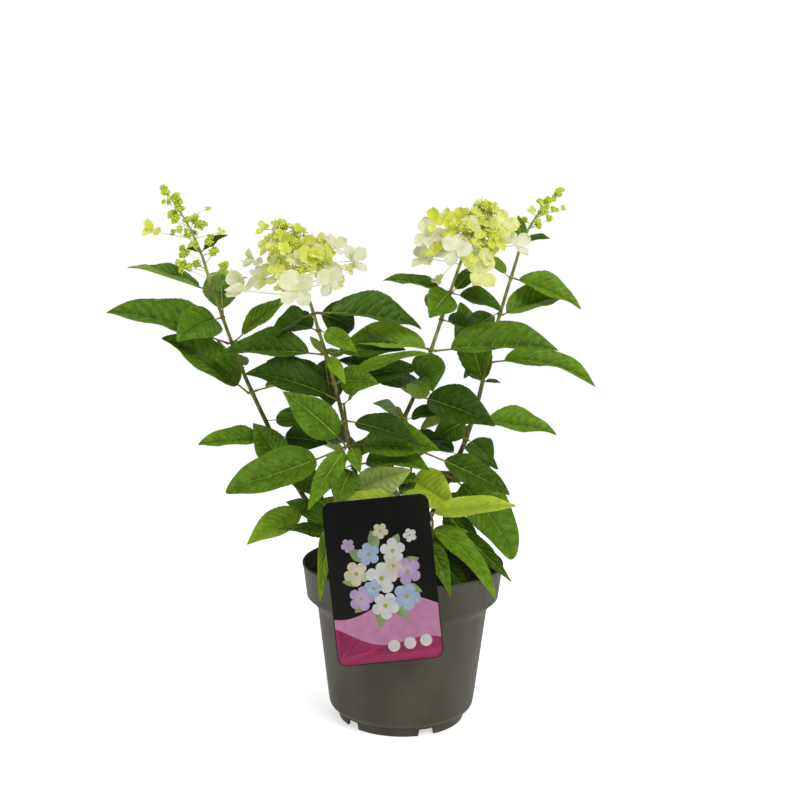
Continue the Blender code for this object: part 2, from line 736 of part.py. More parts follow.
# ---------------------------------------------------------------- the whole plant
make_pot()
make_compost()
make_label()
crown_limbs = []
for cane_name, cane in CANES.items():
    line = cane["guides"]
    make_cane("cane_" + cane_name, line)
    crown_limbs.append((Vector(line[0]), cane_heading(line, line[0][2]), CANE_FOOT_RADIUS))
    for count, (height, *specs) in enumerate(cane["pairs"]):
        make_pair(f"leaves_{cane_name}_{count + 1}", line, height, specs)
    make_head("flower_head_" + cane_name, line, HEADS[cane_name])
for shoot_name, shoot in SHOOTS.items():
    make_shoot("shoot_" + shoot_name, shoot["guides"], shoot["pairs"])
for shoot_name, shoot in RULED_SHOOTS.items():
    pairs = ruled_pairs(shoot["guides"], shoot["lowest"], shoot["count"], shoot["length"],
                        shoot["outward"])
    make_shoot("shoot_" + shoot_name, shoot["guides"], pairs)
for shoot in list(SHOOTS.values()) + list(RULED_SHOOTS.values()):
    line = shoot["guides"]
    crown_limbs.append((Vector(line[0]), cane_heading(line, line[0][2]), SHOOT_RADII[0]))
make_crown(crown_limbs)
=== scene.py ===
# %% [markdown]
# # A panicle hydrangea in its nursery pot
#
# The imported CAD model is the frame: it fixes every size, and each of its solids is stood for here
# by a finer piece. The canes get their bark, the leaves their veins and teeth, and the flower
# heads their buds and sepals. Lengths are written in millimetres and become metres in the meshes.

# %% Load the frame
import math
import random

import bmesh
import bpy
import numpy as np
from mathutils import Matrix, Vector, noise


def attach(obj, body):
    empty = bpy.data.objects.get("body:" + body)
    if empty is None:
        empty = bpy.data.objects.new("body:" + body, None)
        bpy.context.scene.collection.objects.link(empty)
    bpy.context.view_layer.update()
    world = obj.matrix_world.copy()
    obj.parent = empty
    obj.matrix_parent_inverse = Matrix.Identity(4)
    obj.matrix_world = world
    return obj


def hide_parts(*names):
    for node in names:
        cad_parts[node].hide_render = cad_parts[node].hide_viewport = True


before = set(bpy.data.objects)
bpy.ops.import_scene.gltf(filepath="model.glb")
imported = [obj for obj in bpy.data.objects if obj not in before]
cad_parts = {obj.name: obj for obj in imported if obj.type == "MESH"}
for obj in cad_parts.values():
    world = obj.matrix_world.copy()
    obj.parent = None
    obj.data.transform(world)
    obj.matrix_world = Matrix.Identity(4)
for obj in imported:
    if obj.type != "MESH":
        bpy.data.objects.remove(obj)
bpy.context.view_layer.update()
MM = 0.001
UP = Vector((0.0, 0.0, 1.0))
FRONT = Vector((0.0, -1.0, 0.0))


def put_in_scene(name, data):
    """A new object for a mesh, lamp or camera, linked into the scene."""
    thing = bpy.data.objects.new(name, data)
    bpy.context.scene.collection.objects.link(thing)
    return thing


# %% [markdown]
# ## Camera
#
# A plant this size is pictured from about a metre away, at the height of its flower heads, with
# the lens looking slightly down so that a little of the compost shows. The camera's three axes
# are worked out from its downward tilt and its small roll, and set as the columns of its matrix.

# %% Camera
EYE = Vector((-4.6, -1030.0, 421.5))
LENS = 50.0
LOOK_DOWN = math.radians(6.6)
ROLL = math.radians(0.71)

ahead = Vector((0.0, math.cos(LOOK_DOWN), -math.sin(LOOK_DOWN)))
level = Vector((1.0, 0.0, 0.0))
over = level.cross(ahead)
right = level * math.cos(ROLL) + over * math.sin(ROLL)
above = over * math.cos(ROLL) - level * math.sin(ROLL)

camera = put_in_scene("camera", bpy.data.cameras.new("camera"))
camera.data.lens = LENS
turned_camera = Matrix((right, above, -ahead)).transposed().to_4x4()
camera.matrix_world = Matrix.Translation(EYE * MM) @ turned_camera
bpy.context.scene.camera = camera
print("camera at, mm:", tuple(EYE))

# %% [markdown]
# ## Finishes
#
# Nearly every surface of a living plant is one colour that drifts a little, over a grain that
# catches the light. One recipe makes them all: a soft noise chooses between close tones and
# varies the gloss with them, and a fine one gives the relief. Only the numbers differ.

# %% Colours, and a bare material
def tone(colour):
    """A colour as seen on screen, 0 to 255, turned into the light values that a shader takes."""
    seen = [part / 255 for part in colour]
    return tuple(part / 12.92 if part <= 0.04045 else ((part + 0.055) / 1.055) ** 2.4
                 for part in seen) + (1.0,)


def blank_finish(name, roughness, specular):
    """A new material, with its shader."""
    made = bpy.data.materials.new(name)
    made.use_nodes = True
    shader = made.node_tree.nodes["Principled BSDF"]
    shader.inputs["Roughness"].default_value = roughness
    shader.inputs["Specular IOR Level"].default_value = specular
    return made, shader

# %% [markdown]
# A noise that reads Object coordinates stays in its place on the plant. Its scale counts spots to
# a metre, so a size in millimetres goes in as one over that size. Its values keep near the
# middle of their range, so the tones are spread over that part only.

# %% Noise, and tones spread over it
NOISE_LOW, NOISE_HIGH = 0.35, 0.65


def noise_node(made, size, stretch=(1.0, 1.0, 1.0), detail=3.0):
    """A noise whose spots are about size millimetres across, drawn out along an axis by stretch."""
    tree = made.node_tree
    places = tree.nodes.new("ShaderNodeTexCoord")
    scaling = tree.nodes.new("ShaderNodeMapping")
    spots = tree.nodes.new("ShaderNodeTexNoise")
    scaling.inputs["Scale"].default_value = [1.0 / part for part in stretch]
    spots.inputs["Scale"].default_value = 1.0 / (size * MM)
    spots.inputs["Detail"].default_value = detail
    tree.links.new(places.outputs["Object"], scaling.inputs["Vector"])
    tree.links.new(scaling.outputs["Vector"], spots.inputs["Vector"])
    return spots.outputs["Fac"]


def ramp_node(made, source, tones):
    """Spread tones evenly over the part of its range that a noise mostly stays in."""
    ramp = made.node_tree.nodes.new("ShaderNodeValToRGB")
    spread = ramp.color_ramp.elements
    while len(spread) < len(tones):
        spread.new(0.5)
    for count, (stop, colour) in enumerate(zip(spread, tones)):
        stop.position = NOISE_LOW + (NOISE_HIGH - NOISE_LOW) * count / (len(tones) - 1)
        stop.color = tone(colour)
    made.node_tree.links.new(source, ramp.inputs["Fac"])
    return ramp.outputs["Color"]

# %% Relief, gloss and the whole recipe
def add_relief(made, shader, source, height):
    """Let a noise raise and sink the surface by about height millimetres."""
    bump = made.node_tree.nodes.new("ShaderNodeBump")
    bump.inputs["Strength"].default_value = 1.0
    bump.inputs["Distance"].default_value = height * MM
    made.node_tree.links.new(source, bump.inputs["Height"])
    made.node_tree.links.new(bump.outputs["Normal"], shader.inputs["Normal"])


def add_gloss(made, shader, source, dull, shiny):
    """Let a noise vary the roughness between a dull and a shiny value."""
    spread = made.node_tree.nodes.new("ShaderNodeMapRange")
    spread.inputs["To Min"].default_value = dull
    spread.inputs["To Max"].default_value = shiny
    made.node_tree.links.new(source, spread.inputs["Value"])
    made.node_tree.links.new(spread.outputs["Result"], shader.inputs["Roughness"])


def drifting(name, tones, spot, grain, relief, rough=(0.6, 0.5), stretch=(1.0, 1.0, 1.0),
             specular=0.15):
    """A finish of close tones in spots, with a fine grain. Sizes are in millimetres."""
    made, shader = blank_finish(name, rough[0], specular)
    spots = noise_node(made, spot, stretch)
    made.node_tree.links.new(ramp_node(made, spots, tones), shader.inputs["Base Color"])
    add_gloss(made, shader, spots, *rough)
    add_relief(made, shader, noise_node(made, grain, stretch, detail=2.0), relief)
    return made

# %% [markdown]
# ## Turning meshes into pieces
#
# A finished piece keeps its place in its mesh, rides with the plant's one body, and hides the
# CAD solids that it stands for.

# %% Show a mesh as a piece
SEAM = 0.002


def scene_piece(name, mesh, finishes, nodes=(), sharp=40.0):
    """Show a mesh as one piece of the plant. Its edges past sharp degrees stay crisp."""
    for made in finishes:
        mesh.materials.append(made)
    mesh.shade_smooth()
    mesh.set_sharp_from_angle(angle=math.radians(sharp))
    thing = put_in_scene(name, mesh)
    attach(thing, "root")
    if nodes:
        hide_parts(*sorted(nodes))
    print(f"{name}: {len(mesh.vertices)} points, {len(mesh.polygons)} faces")


def joined(shape, name):
    """Hand over a bmesh of closed shapes as one mesh, as they are."""
    mesh = bpy.data.meshes.new(name)
    shape.to_mesh(mesh)
    shape.free()
    return mesh


def mesh_of(shape, name):
    """Close a bmesh's seams, point its faces outwards and hand it over as a mesh."""
    bmesh.ops.remove_doubles(shape, verts=shape.verts, dist=SEAM * MM)
    bmesh.ops.recalc_face_normals(shape, faces=shape.faces)
    return joined(shape, name)

# %% [markdown]
# Small shapes that come by the hundred, such as buds and crumbs, are made once and copied by a
# stack of matrices into one joined mesh. Each matrix turns, sizes and places one copy. That is
# far quicker than hundreds of objects, and the piece is still a plain mesh.

# %% Copies of a small shape
def copies(template, places, name):
    """Copy a small closed shape to each place, a 4x4 matrix, and join the copies in one mesh."""
    points = np.array([(*knot.co, 1.0) for knot in template.verts])
    faces = np.array([[knot.index for knot in face.verts] for face in template.faces])
    stack = np.array([[list(row) for row in place] for place in places])
    moved = np.einsum("pij,vj->pvi", stack, points)[:, :, :3].reshape(-1, 3)
    steps = np.arange(len(places))[:, None, None] * len(points)
    all_faces = (faces[None] + steps).reshape(-1, faces.shape[1])
    mesh = bpy.data.meshes.new(name)
    mesh.from_pydata(moved.tolist(), [], all_faces.tolist())
    template.free()
    return mesh


def facing(place, direction, size, spin=0.0):
    """The matrix that turns a shape's +Z to a direction, spins it, sizes it and puts it in place."""
    turn = direction.to_track_quat("Z", "Y").to_matrix().to_4x4()
    return Matrix.Translation(place) @ turn @ Matrix.Rotation(spin, 4, "Z") @ Matrix.Diagonal(
        (*size, 1.0))

# %% [markdown]
# ## The pot
#
# The pot is moulded plastic, so one profile turned about the upright axis gives all of it:
# rolled lip, deep rim band, the undercut below the band, the tapering wall and the foot ring.
# `spin` turns the profile, which is easier to get right than faces laid one by one.

# %% Sizes of the pot, as in the CAD
POT_HEIGHT = 150.0
RIM_RADIUS = 95.0
BODY_RADIUS = 80.0
BASE_RADIUS = 68.5
FOOT_RADIUS = 59.5
WALL = 1.5
BAND_DEPTH = 34.0
SOIL_LEVEL = 136.0
PAD_RADIUS = 16.0
BAND_LOW = POT_HEIGHT - BAND_DEPTH
print("pot, mm:", 2 * RIM_RADIUS, "across its rim,", POT_HEIGHT, "tall")

# %% Arcs
def arc(centre, radius, first, last, steps):
    """Points on an arc of a profile, from one angle to another, in degrees."""
    angles = [math.radians(first + (last - first) * step / steps) for step in range(steps + 1)]
    return [(centre[0] + radius * math.cos(angle), centre[1] + radius * math.sin(angle))
            for angle in angles]

# %% The pot's profile, down its outside
outside = arc((RIM_RADIUS - 1.3, POT_HEIGHT - 1.3), 1.3, 90, -20, 5) + [
    (RIM_RADIUS - 0.4, POT_HEIGHT - 3.4),
    (RIM_RADIUS - 0.9, POT_HEIGHT - 4.2),
    (RIM_RADIUS - 4.3, BAND_LOW + 3.4),
] + arc((RIM_RADIUS - 6.3, BAND_LOW + 3.2), 2.0, 0, -70, 4) + [
    (RIM_RADIUS - 7.4, BAND_LOW + 1.0),
    (RIM_RADIUS - 7.7, BAND_LOW - 0.6),
    (BODY_RADIUS + 3.4, BAND_LOW - 4.6),
    (BODY_RADIUS + 1.2, BAND_LOW - 8.0),
    (BODY_RADIUS, BAND_LOW - 12.0),
    (BASE_RADIUS + 1.5, 24.0),
] + arc((BASE_RADIUS - 6.6, 17.0), 7.0, 0, -62, 6) + [
    (FOOT_RADIUS + 0.9, 9.2),
    (FOOT_RADIUS + 0.5, 8.2),
] + arc((FOOT_RADIUS - 0.8, 0.8), 0.8, 0, -90, 3)

# %% The profile under the pot and back up its inside
underside = [
    (FOOT_RADIUS - 2.5, 0.0),
    (FOOT_RADIUS - 3.5, 7.0),
    (PAD_RADIUS + 1.5, 7.5),
    (PAD_RADIUS, 0.4),
    (PAD_RADIUS - 0.4, 0.0),
    (0.0, 0.0),
]
inside = [
    (0.0, 9.5),
    (BASE_RADIUS - 6.0, 9.5),
    (BASE_RADIUS - 1.0, 18.0),
    (BASE_RADIUS, 24.0),
    (BODY_RADIUS - WALL, BAND_LOW - 10.0),
    (BODY_RADIUS + 0.5, BAND_LOW - 6.0),
    (RIM_RADIUS - 9.0, BAND_LOW + 1.0),
    (RIM_RADIUS - 6.3, BAND_LOW + 5.0),
    (RIM_RADIUS - 2.3, POT_HEIGHT - 3.0),
    (RIM_RADIUS - 2.0, POT_HEIGHT - 0.8),
]
pot_profile = inside + outside + underside
print("pot profile:", len(pot_profile), "points")

# %% [markdown]
# A full spin meets itself again, so `use_merge` joins its last step to the first.

# %% Turn the profile
POT_STEPS = 144


def turned(profile, steps, name):
    """Spin (radius, height) points about the upright axis into a closed mesh."""
    shape = bmesh.new()
    knots = [shape.verts.new((radius * MM, 0.0, height * MM)) for radius, height in profile]
    lines = [shape.edges.new(pair) for pair in zip(knots, knots[1:])]
    bmesh.ops.spin(shape, geom=knots + lines, cent=(0, 0, 0), axis=(0, 0, 1), angle=math.tau,
                   steps=steps, use_merge=True)
    return mesh_of(shape, name)


blank_pot = put_in_scene("blank_pot", turned(pot_profile, POT_STEPS, "pot_shell"))

# %% [markdown]
# Five notches under the foot ring let water out. They are cut by a boolean, because their edges
# run across the spun faces. The result is kept as a plain mesh, without the modifiers.

# %% Cut the drain notches
NOTCHES = 5
FIRST_NOTCH = math.radians(-67.0)
NOTCH_SIZE = Vector((12.0, 14.0, 12.6))
NOTCH_FOOT_SPREAD = 1.25


def cut_away(thing, cutters):
    """Cut boxes out of a piece, and keep the plain mesh that is left."""
    for cutter in cutters:
        cut = thing.modifiers.new(cutter.name, "BOOLEAN")
        cut.operation = "DIFFERENCE"
        cut.object = cutter
    graph = bpy.context.evaluated_depsgraph_get()
    mesh = bpy.data.meshes.new_from_object(thing.evaluated_get(graph))
    for spare in [thing] + cutters:
        bpy.data.objects.remove(spare, do_unlink=True)
    return mesh


notch_cubes = []
for count in range(NOTCHES):
    angle = FIRST_NOTCH + count * math.tau / NOTCHES
    shape = bmesh.new()
    bmesh.ops.create_cube(shape, size=1.0)
    bmesh.ops.scale(shape, verts=shape.verts, vec=NOTCH_SIZE * MM)
    low = [knot for knot in shape.verts if knot.co.z < 0]
    bmesh.ops.scale(shape, verts=low, vec=(1.0, NOTCH_FOOT_SPREAD, 1.0))
    bmesh.ops.translate(shape, verts=shape.verts, vec=(FOOT_RADIUS * MM, 0.0, 0.0))
    bmesh.ops.rotate(shape, verts=shape.verts, matrix=Matrix.Rotation(angle, 3, "Z"))
    notch_cubes.append(put_in_scene(f"notch_{count}", mesh_of(shape, "notch")))
pot_mesh = cut_away(blank_pot, notch_cubes)

# %% [markdown]
# The plastic is a dull olive taupe. It has a faint grain from the mould, hardly any gloss, and
# dusty lighter patches from handling and watering.

# %% Pot plastic
pot_plastic = drifting(
    "pot_plastic", [(57, 54, 42), (63, 60, 48), (68, 64, 52)], spot=38.0, grain=0.7, relief=0.05,
    rough=(0.62, 0.5), stretch=(1.0, 1.0, 2.5), specular=0.22)
scene_piece("pot_wall", pot_mesh, [pot_plastic], ["pot"], sharp=35.0)

# %% [markdown]
# ## The compost
#
# Peat fills the pot to a little below the lip. Its surface is a fine disc that a noise heaps
# into clods, with loose crumbs and bark chips scattered over it as copies of one lump.

# %% Compost surface
COMPOST_RADIUS = RIM_RADIUS - 4.6
COMPOST_STEPS = 120
COMPOST_SKIRT = 12.0
COMPOST_SUNK = 1.6
EDGE_WIDTH = 6.0
CLODS = [(26.0, 2.2), (9.0, 1.6), (3.5, 1.0), (1.6, 0.5)]


def clod_height(x, y):
    """Height of the compost's surface above the pot's foot: clods of four sizes, lower by the wall."""
    place = Vector((x, y, 0.0))
    heap = sum(noise.noise(place / size) * height for size, height in CLODS)
    edge = min(1.0, (COMPOST_RADIUS - place.length) / EDGE_WIDTH)
    return SOIL_LEVEL - COMPOST_SUNK + heap * max(edge, 0.25)


shape = bmesh.new()
bmesh.ops.create_grid(shape, x_segments=COMPOST_STEPS, y_segments=COMPOST_STEPS,
                      size=COMPOST_RADIUS * MM)
for knot in shape.verts:
    flat = Vector((knot.co.x, knot.co.y))
    longest = max(abs(flat.x), abs(flat.y), 1e-9)
    flat *= longest / max(flat.length, 1e-9)
    knot.co = (flat.x, flat.y, clod_height(flat.x / MM, flat.y / MM) * MM)
rim_edges = [edge for edge in shape.edges if edge.is_boundary]
skirt = bmesh.ops.extrude_edge_only(shape, edges=rim_edges)["geom"]
skirt_knots = [part for part in skirt if isinstance(part, bmesh.types.BMVert)]
bmesh.ops.translate(shape, verts=skirt_knots, vec=(0, 0, -COMPOST_SKIRT * MM))
bmesh.ops.contextual_create(shape, geom=[edge for edge in shape.edges if edge.is_boundary])
peat = drifting("peat", [(9, 7, 5), (20, 15, 11), (36, 27, 19)], spot=3.2, grain=0.8,
                relief=0.4, rough=(0.95, 0.85), specular=0.25)
scene_piece("compost", mesh_of(shape, "compost"), [peat], ["root_ball"], sharp=60.0)

# %% Crumbs
CRUMBS = 520
rng = random.Random(11)
crumb = bmesh.new()
bmesh.ops.create_icosphere(crumb, subdivisions=1, radius=1.0)
crumb_places = []
for count in range(CRUMBS):
    away = (COMPOST_RADIUS - 3.0) * math.sqrt(rng.random())
    angle = rng.uniform(0.0, math.tau)
    x, y = away * math.cos(angle), away * math.sin(angle)
    girth = rng.uniform(0.6, 1.9)
    size = Vector((girth * rng.uniform(0.8, 2.2), girth, girth * rng.uniform(0.5, 0.9))) * MM
    tilt = Vector((rng.uniform(-0.5, 0.5), rng.uniform(-0.5, 0.5), 1.0))
    crumb_places.append(facing(Vector((x, y, clod_height(x, y) + girth * 0.3)) * MM, tilt, size,
                               rng.uniform(0.0, math.tau)))
bark_chip = drifting("bark_chip", [(36, 25, 17), (70, 50, 33)], spot=6.0, grain=0.9,
                     relief=0.25, rough=(0.9, 0.8), specular=0.25)
scene_piece("compost_crumbs", copies(crumb, crumb_places, "compost_crumbs"), [bark_chip],
            sharp=30.0)

# %% [markdown]
# ## Limbs
#
# Canes, stalks, veins and flower stalks are all the same thing: a round limb along a bent line,
# thinner towards its tip. Each starts as a straight capped tube, cut across many times. A curve
# with a bevel would do for the plain ones, but the canes also swell and are fluted.

# %% A straight sleeve
sleeves = {}


def sleeve(sides, steps):
    """A capped tube, one unit tall, cut across into so many steps. Each kind is made only once."""
    if (sides, steps) not in sleeves:
        shape = bmesh.new()
        bmesh.ops.create_cone(shape, cap_ends=True, segments=sides, radius1=1.0, radius2=1.0,
                              depth=1.0)
        uprights = [edge for edge in shape.edges
                    if abs(edge.verts[0].co.z - edge.verts[1].co.z) > 0.5]
        bmesh.ops.subdivide_edges(shape, edges=uprights, cuts=steps - 1)
        sleeves[sides, steps] = joined(shape, "sleeve")
    return sleeves[sides, steps]

# %% [markdown]
# The sleeve is bent to its line by working out where each of its points lies: round the limb by
# its angle, and along it by its height.

# %% Bend a sleeve into a limb
LOOK_ALONG = 0.02


def add_limb(shape, line, radius, sides=6, steps=6):
    """Add a limb to a bmesh. line(t) gives its middle and radius(t, angle) its reach, in mm."""
    first = len(shape.verts)
    shape.from_mesh(sleeve(sides, steps))
    shape.verts.ensure_lookup_table()
    rings = {}
    for knot in shape.verts[first:]:
        t = round((knot.co.z + 0.5) * steps) / steps
        if t not in rings:
            run = (line(min(t + LOOK_ALONG, 1.0)) - line(max(t - LOOK_ALONG, 0.0))).normalized()
            across = run.cross(FRONT if abs(run.y) < 0.9 else UP).normalized()
            rings[t] = (line(t), across, run.cross(across))
        middle, across, outward = rings[t]
        angle = math.atan2(knot.co.y, knot.co.x)
        reach = radius(t, angle)
        place = middle + across * (math.cos(angle) * reach) + outward * (math.sin(angle) * reach)
        knot.co = place * MM


def taper(wide, narrow):
    """The radius of a limb that narrows evenly from its foot to its tip."""
    return lambda t, angle: wide + (narrow - wide) * t

# %% Smooth arcs
def bend(start, middle, end, t):
    """A point on the smooth arc that leaves start towards middle and arrives at end."""
    return start * (1 - t) ** 2 + middle * (2 * t * (1 - t)) + end * t ** 2


def bend_heading(start, middle, end, t):
    """Which way the arc of bend runs at t."""
    return ((middle - start) * (1 - t) + (end - middle) * t).normalized()

# %% [markdown]
# ## How the shrub grows
#
# These are the CAD's own rules, with finer detail. A cane is a smooth line through a few guide
# points. At each of its nodes two leaves stand opposite each other, and where a side bud has
# broken there are more. A few small leaves grow between two nodes. A leaf is told by where its
# tip lies from its node, which is easier to judge than two angles and a length, and by how it is
# rolled towards the front, how wide it is and how far it arches. Each one also has a tint, from
# deep green through to lime. A tint is partly the leaf's own green and partly painted light and
# shade: a leaf that lies in shade has a deeper tint, a leaf that is well lit a brighter one.

# %% How a leaf is told
FOLD_AHEAD = 13.0
FOLD_ASIDE = 35.0
FLATTER_ASIDE = 0.05


def leaf(x, y, z, tint="mid", roll=40.0, width=0.5, arch=0.09, stalk=0.13, curl=0.04, point=0.8):
    """One leaf: where its tip lies from its node, its tint, and how the blade is held.

    The width, arch, stalk and curl are shares of its length, and the roll is in degrees. A leaf
    that grows out to the side is folded more along its midrib, and arches less, than one that
    grows forward. A leaf whose point is less than 0.8 has blunter ends.
    """
    reach = Vector((x, y, z))
    aside = (x / reach.length) ** 2
    return {"reach": reach, "tint": tint, "roll": roll, "width": width,
            "arch": arch - FLATTER_ASIDE * aside, "stalk": stalk, "curl": curl, "point": point,
            "fold": math.radians(FOLD_AHEAD + (FOLD_ASIDE - FOLD_AHEAD) * aside)}

# %% [markdown]
# Each cane has its guide points, then its nodes from the lowest up: a height and the leaves that
# stand there. Leaves between nodes come last, with their height and the number of the node whose
# CAD solid they go with.

# %% Left cane
CANES = {}
CANES["left"] = {
    "guides": [(-22, 4, 150), (-60, 13, 166), (-104, 20, 218), (-133, 24, 278),
               (-155, 27, 325), (-187, 31, 410)],
    "nodes": [
        (195, leaf(-56, -28, -27, "bright", roll=60, arch=0.13), leaf(18, -42, -18, "dark")),
        (232, leaf(-29, -14, 46, roll=75, width=0.62, stalk=0.08),
              leaf(37, -46, -20, "dark")),
        (262, leaf(-68, -5, -4, "fresh", arch=0.03, point=0.65),
              leaf(50, -8, -5, "deep", roll=75, width=0.7, stalk=0.18)),
        (305, leaf(-78, -15, 56, curl=0.06, point=0.6),
              leaf(72, 20, 0, "fresh", roll=10, arch=0.2)),
        (328, leaf(-34, 76, 13, roll=-30), leaf(-22, -26, 14, roll=60, width=0.6)),
        (352, leaf(-112, -15, 32), leaf(54, 10, 44, "fresh", width=0.38)),
        (376, leaf(-31, -50, -18, roll=60, width=0.74, point=0.65),
              leaf(-14, 68, 46)),
        (402, leaf(-80, 10, 24, roll=10, width=0.4, arch=0.05),
              leaf(29, 15, 12, "fresh", roll=10)),
    ],
    "between": [
        (278, 3, leaf(42, -4, 2, roll=75, width=0.6, stalk=0.24, point=0.6)),
    ],
}

# %% Front cane
CANES["front"] = {
    "guides": [(-17, -5, 152), (-38, -13, 205), (-51, -20, 265), (-65, -27, 322),
               (-85, -38, 391)],
    "nodes": [
        (228, leaf(58, -24, 6, "bright", roll=60, width=0.34, stalk=0.3),
              leaf(30, 34, 0, "lime", roll=-40)),
        (243, leaf(-40, 10, -22, "dark"), leaf(66, -36, 4, arch=0.2),
              leaf(-12, -38, -28, roll=80, width=0.68)),
        (262, leaf(78, -34, 3, roll=50, width=0.58),
              leaf(-108, -25, -36, roll=60, arch=-0.01, stalk=0.25, curl=0.1, point=0.55),
              leaf(-54, -34, 53, roll=80, stalk=0.16),
              leaf(-33, -34, -52, "fresh", roll=75, width=0.34, stalk=0.08),
              leaf(10, -26, -20, "fresh", roll=80, width=0.45, stalk=0.1)),
        (285, leaf(-58, 10, 8, width=0.42), leaf(66, -40, -14, "deep", width=0.44),
              leaf(-12, 40, -30, "deep", roll=80, width=0.6)),
        (320, leaf(-62, 20, 20, "dark", width=0.4),
              leaf(83, -22, 30, "fresh", roll=60, width=0.16, arch=0.16),
              leaf(38, -36, 4, roll=75, width=0.62, arch=0.12),
              leaf(76, 6, 14, "deep", roll=70, width=0.4)),
        (347, leaf(-95, 10, 0, "dark"), leaf(-6, 80, -6, roll=-40),
              leaf(18, -24, -24, "bright", roll=70, width=0.36),
              leaf(70, 10, 4, "dark", roll=60, width=0.4),
              leaf(5, 24, -52, "deep", roll=80, width=0.66)),
        (368, leaf(34, -34, -16, "fresh", roll=70, width=0.42), leaf(-38, 50, 2, "dark")),
        (383, leaf(96, 22, -12, "dark", arch=0.12), leaf(-40, 28, -24, "dark", width=0.7),
              leaf(34, 36, -16, "deep", roll=75, width=0.8)),
    ],
    "between": [
        (304, 5, leaf(-84, -12, 26, "deep", roll=50, arch=0.14)),
        (218, 1, leaf(46, -40, 27, "pale", roll=88, width=0.52, stalk=0.0, point=0.65)),
    ],
}

# %% Middle cane
CANES["middle"] = {
    "guides": [(-13, 2, 152), (-17, 3, 200), (-5, 0, 272), (13, -5, 318), (46, -16, 422)],
    "nodes": [
        (236, leaf(53, -34, -25, "lime", roll=65, width=0.95, arch=0.05, stalk=0.34, point=0.5),
              leaf(9, 80, -8, "dark", roll=-40)),
        (262, leaf(47, 9, 2, "deep"), leaf(-49, 24, -23, "dark"),
              leaf(104, -14, -44, "dark", roll=60, width=0.46, stalk=0.4)),
        (286, leaf(-26, -10, 14, "grey", width=0.56), leaf(31, -15, 8, "deep", width=0.66)),
        (308, leaf(-69, 10, 31, "deep"), leaf(70, -30, -22, "deep", roll=60, width=0.6)),
        (322, leaf(-16, 50, -18, "deep", roll=80, width=0.6),
              leaf(9, -44, -4, "dark", roll=72, width=1.1, arch=0.32)),
        (350, leaf(-82, -14, 3, "bright", roll=40, width=0.46, arch=0.16, stalk=0.03),
              leaf(115, 0, 5)),
        (378, leaf(-4, 40, 26, width=0.6), leaf(36, 44, -18, "dark")),
        (403, leaf(-59, 10, 11, width=0.36), leaf(45, -10, -15, "dark", width=0.6),
              leaf(-18, -22, -22, roll=85, width=0.9, stalk=0.06),
              leaf(22, 12, 23, "dark", roll=80)),
    ],
    "between": [],
}

# %% Right cane
CANES["right"] = {
    "guides": [(-6, 5, 150), (16, 12, 172), (44, 22, 226), (66, 31, 282), (84, 40, 358),
               (108, 50, 441)],
    "nodes": [
        (200, leaf(64, -63, -54, "dark", width=0.2, arch=-0.03), leaf(36, 26, 8, "deep", roll=-20),
              leaf(40, -36, -50, "deep", roll=70, width=0.42)),
        (226, leaf(60, -17, -74, width=0.58, arch=0.2, curl=0.06, point=0.45),
              leaf(57, 38, -22, "deep")),
        (246, leaf(40, 30, -16, "deep"), leaf(-22, 26, 8, "deep")),
        (262, leaf(21, -40, -15, "dark", width=0.64), leaf(12, 62, 10, roll=-40)),
        (280, leaf(80, 5, -11, "fresh"), leaf(-36, -10, -20, "dark", roll=80, width=0.8)),
        (336, leaf(102, -10, -19, "fresh", width=0.36, arch=0.24),
              leaf(-20, 16, -18, width=0.7)),
        (382, leaf(63, 20, 19, "fresh", width=0.6, stalk=0.06), leaf(-38, -30, -24, "deep")),
        (417, leaf(65, -10, -27, "fresh", stalk=0.07), leaf(-23, 15, 20, "fresh")),
    ],
    "between": [
        (317, 6, leaf(-18, -6, 8, "grey", width=0.34), leaf(17, -8, 0, "fresh", width=0.34),
              leaf(-22, 18, 76, roll=85, width=0.42, arch=0.02, stalk=0.02, point=0.6)),
    ],
}

# %% [markdown]
# A few weaker shoots leave the crown low down and stay short. They carry the youngest leaves,
# which are lime green where they come out over the rim.

# %% Low shoots
SHOOTS = {
    "low_right": {
        "guides": [(-5, -5, 148), (12, -22, 166), (26, -32, 187), (25, -38, 204)],
        "nodes": [(170, leaf(26, -72, -26, width=0.28, arch=0.3),
                  leaf(44, 0, 14, "bright", roll=70, width=0.6),
                  leaf(44, -44, -30, "deep", roll=70, width=0.4)),
                  (186, leaf(58, -42, -52, "fresh", width=0.28, arch=0.3, stalk=0.06)),
                  (203, leaf(76, -8, 11, "lime", roll=52, width=0.33, arch=0.07, stalk=0.03))],
    },
    "low_front": {
        "guides": [(-14, -7, 147), (-8, -28, 180), (-4, -40, 216)],
        "nodes": [(192, leaf(28, -22, -8, "dark"), leaf(-30, -10, 16)),
                  (215, leaf(-60, -12, 1, "lime", roll=45, width=0.3, arch=0.1, stalk=0.02, point=0.6),
                   leaf(30, -8, 7, "lime", roll=65, stalk=0.02, point=0.6),
                   leaf(14, 24, 22, "dark"))],
    },
    "low_left": {
        "guides": [(-23, -2, 147), (-46, -24, 166), (-64, -40, 190)],
        "nodes": [(176, leaf(20, -30, 8, "fresh"), leaf(-60, -6, 12, "dark", width=0.3)),
                  (189, leaf(-10, -38, -57, "bright", width=0.24, arch=0.5, point=0.6),
                   leaf(-44, 10, 22, "dark", width=0.56))],
    },
}


# %% [markdown]
# The shoots at the back keep the CAD's rule instead of a table: crosswise pairs of leaves, by
# turns wide apart and close together, that grow smaller and rise more towards the tip.

# %% Shoots at the back
WIDE_PAIR = 60
CLOSE_PAIR = 28


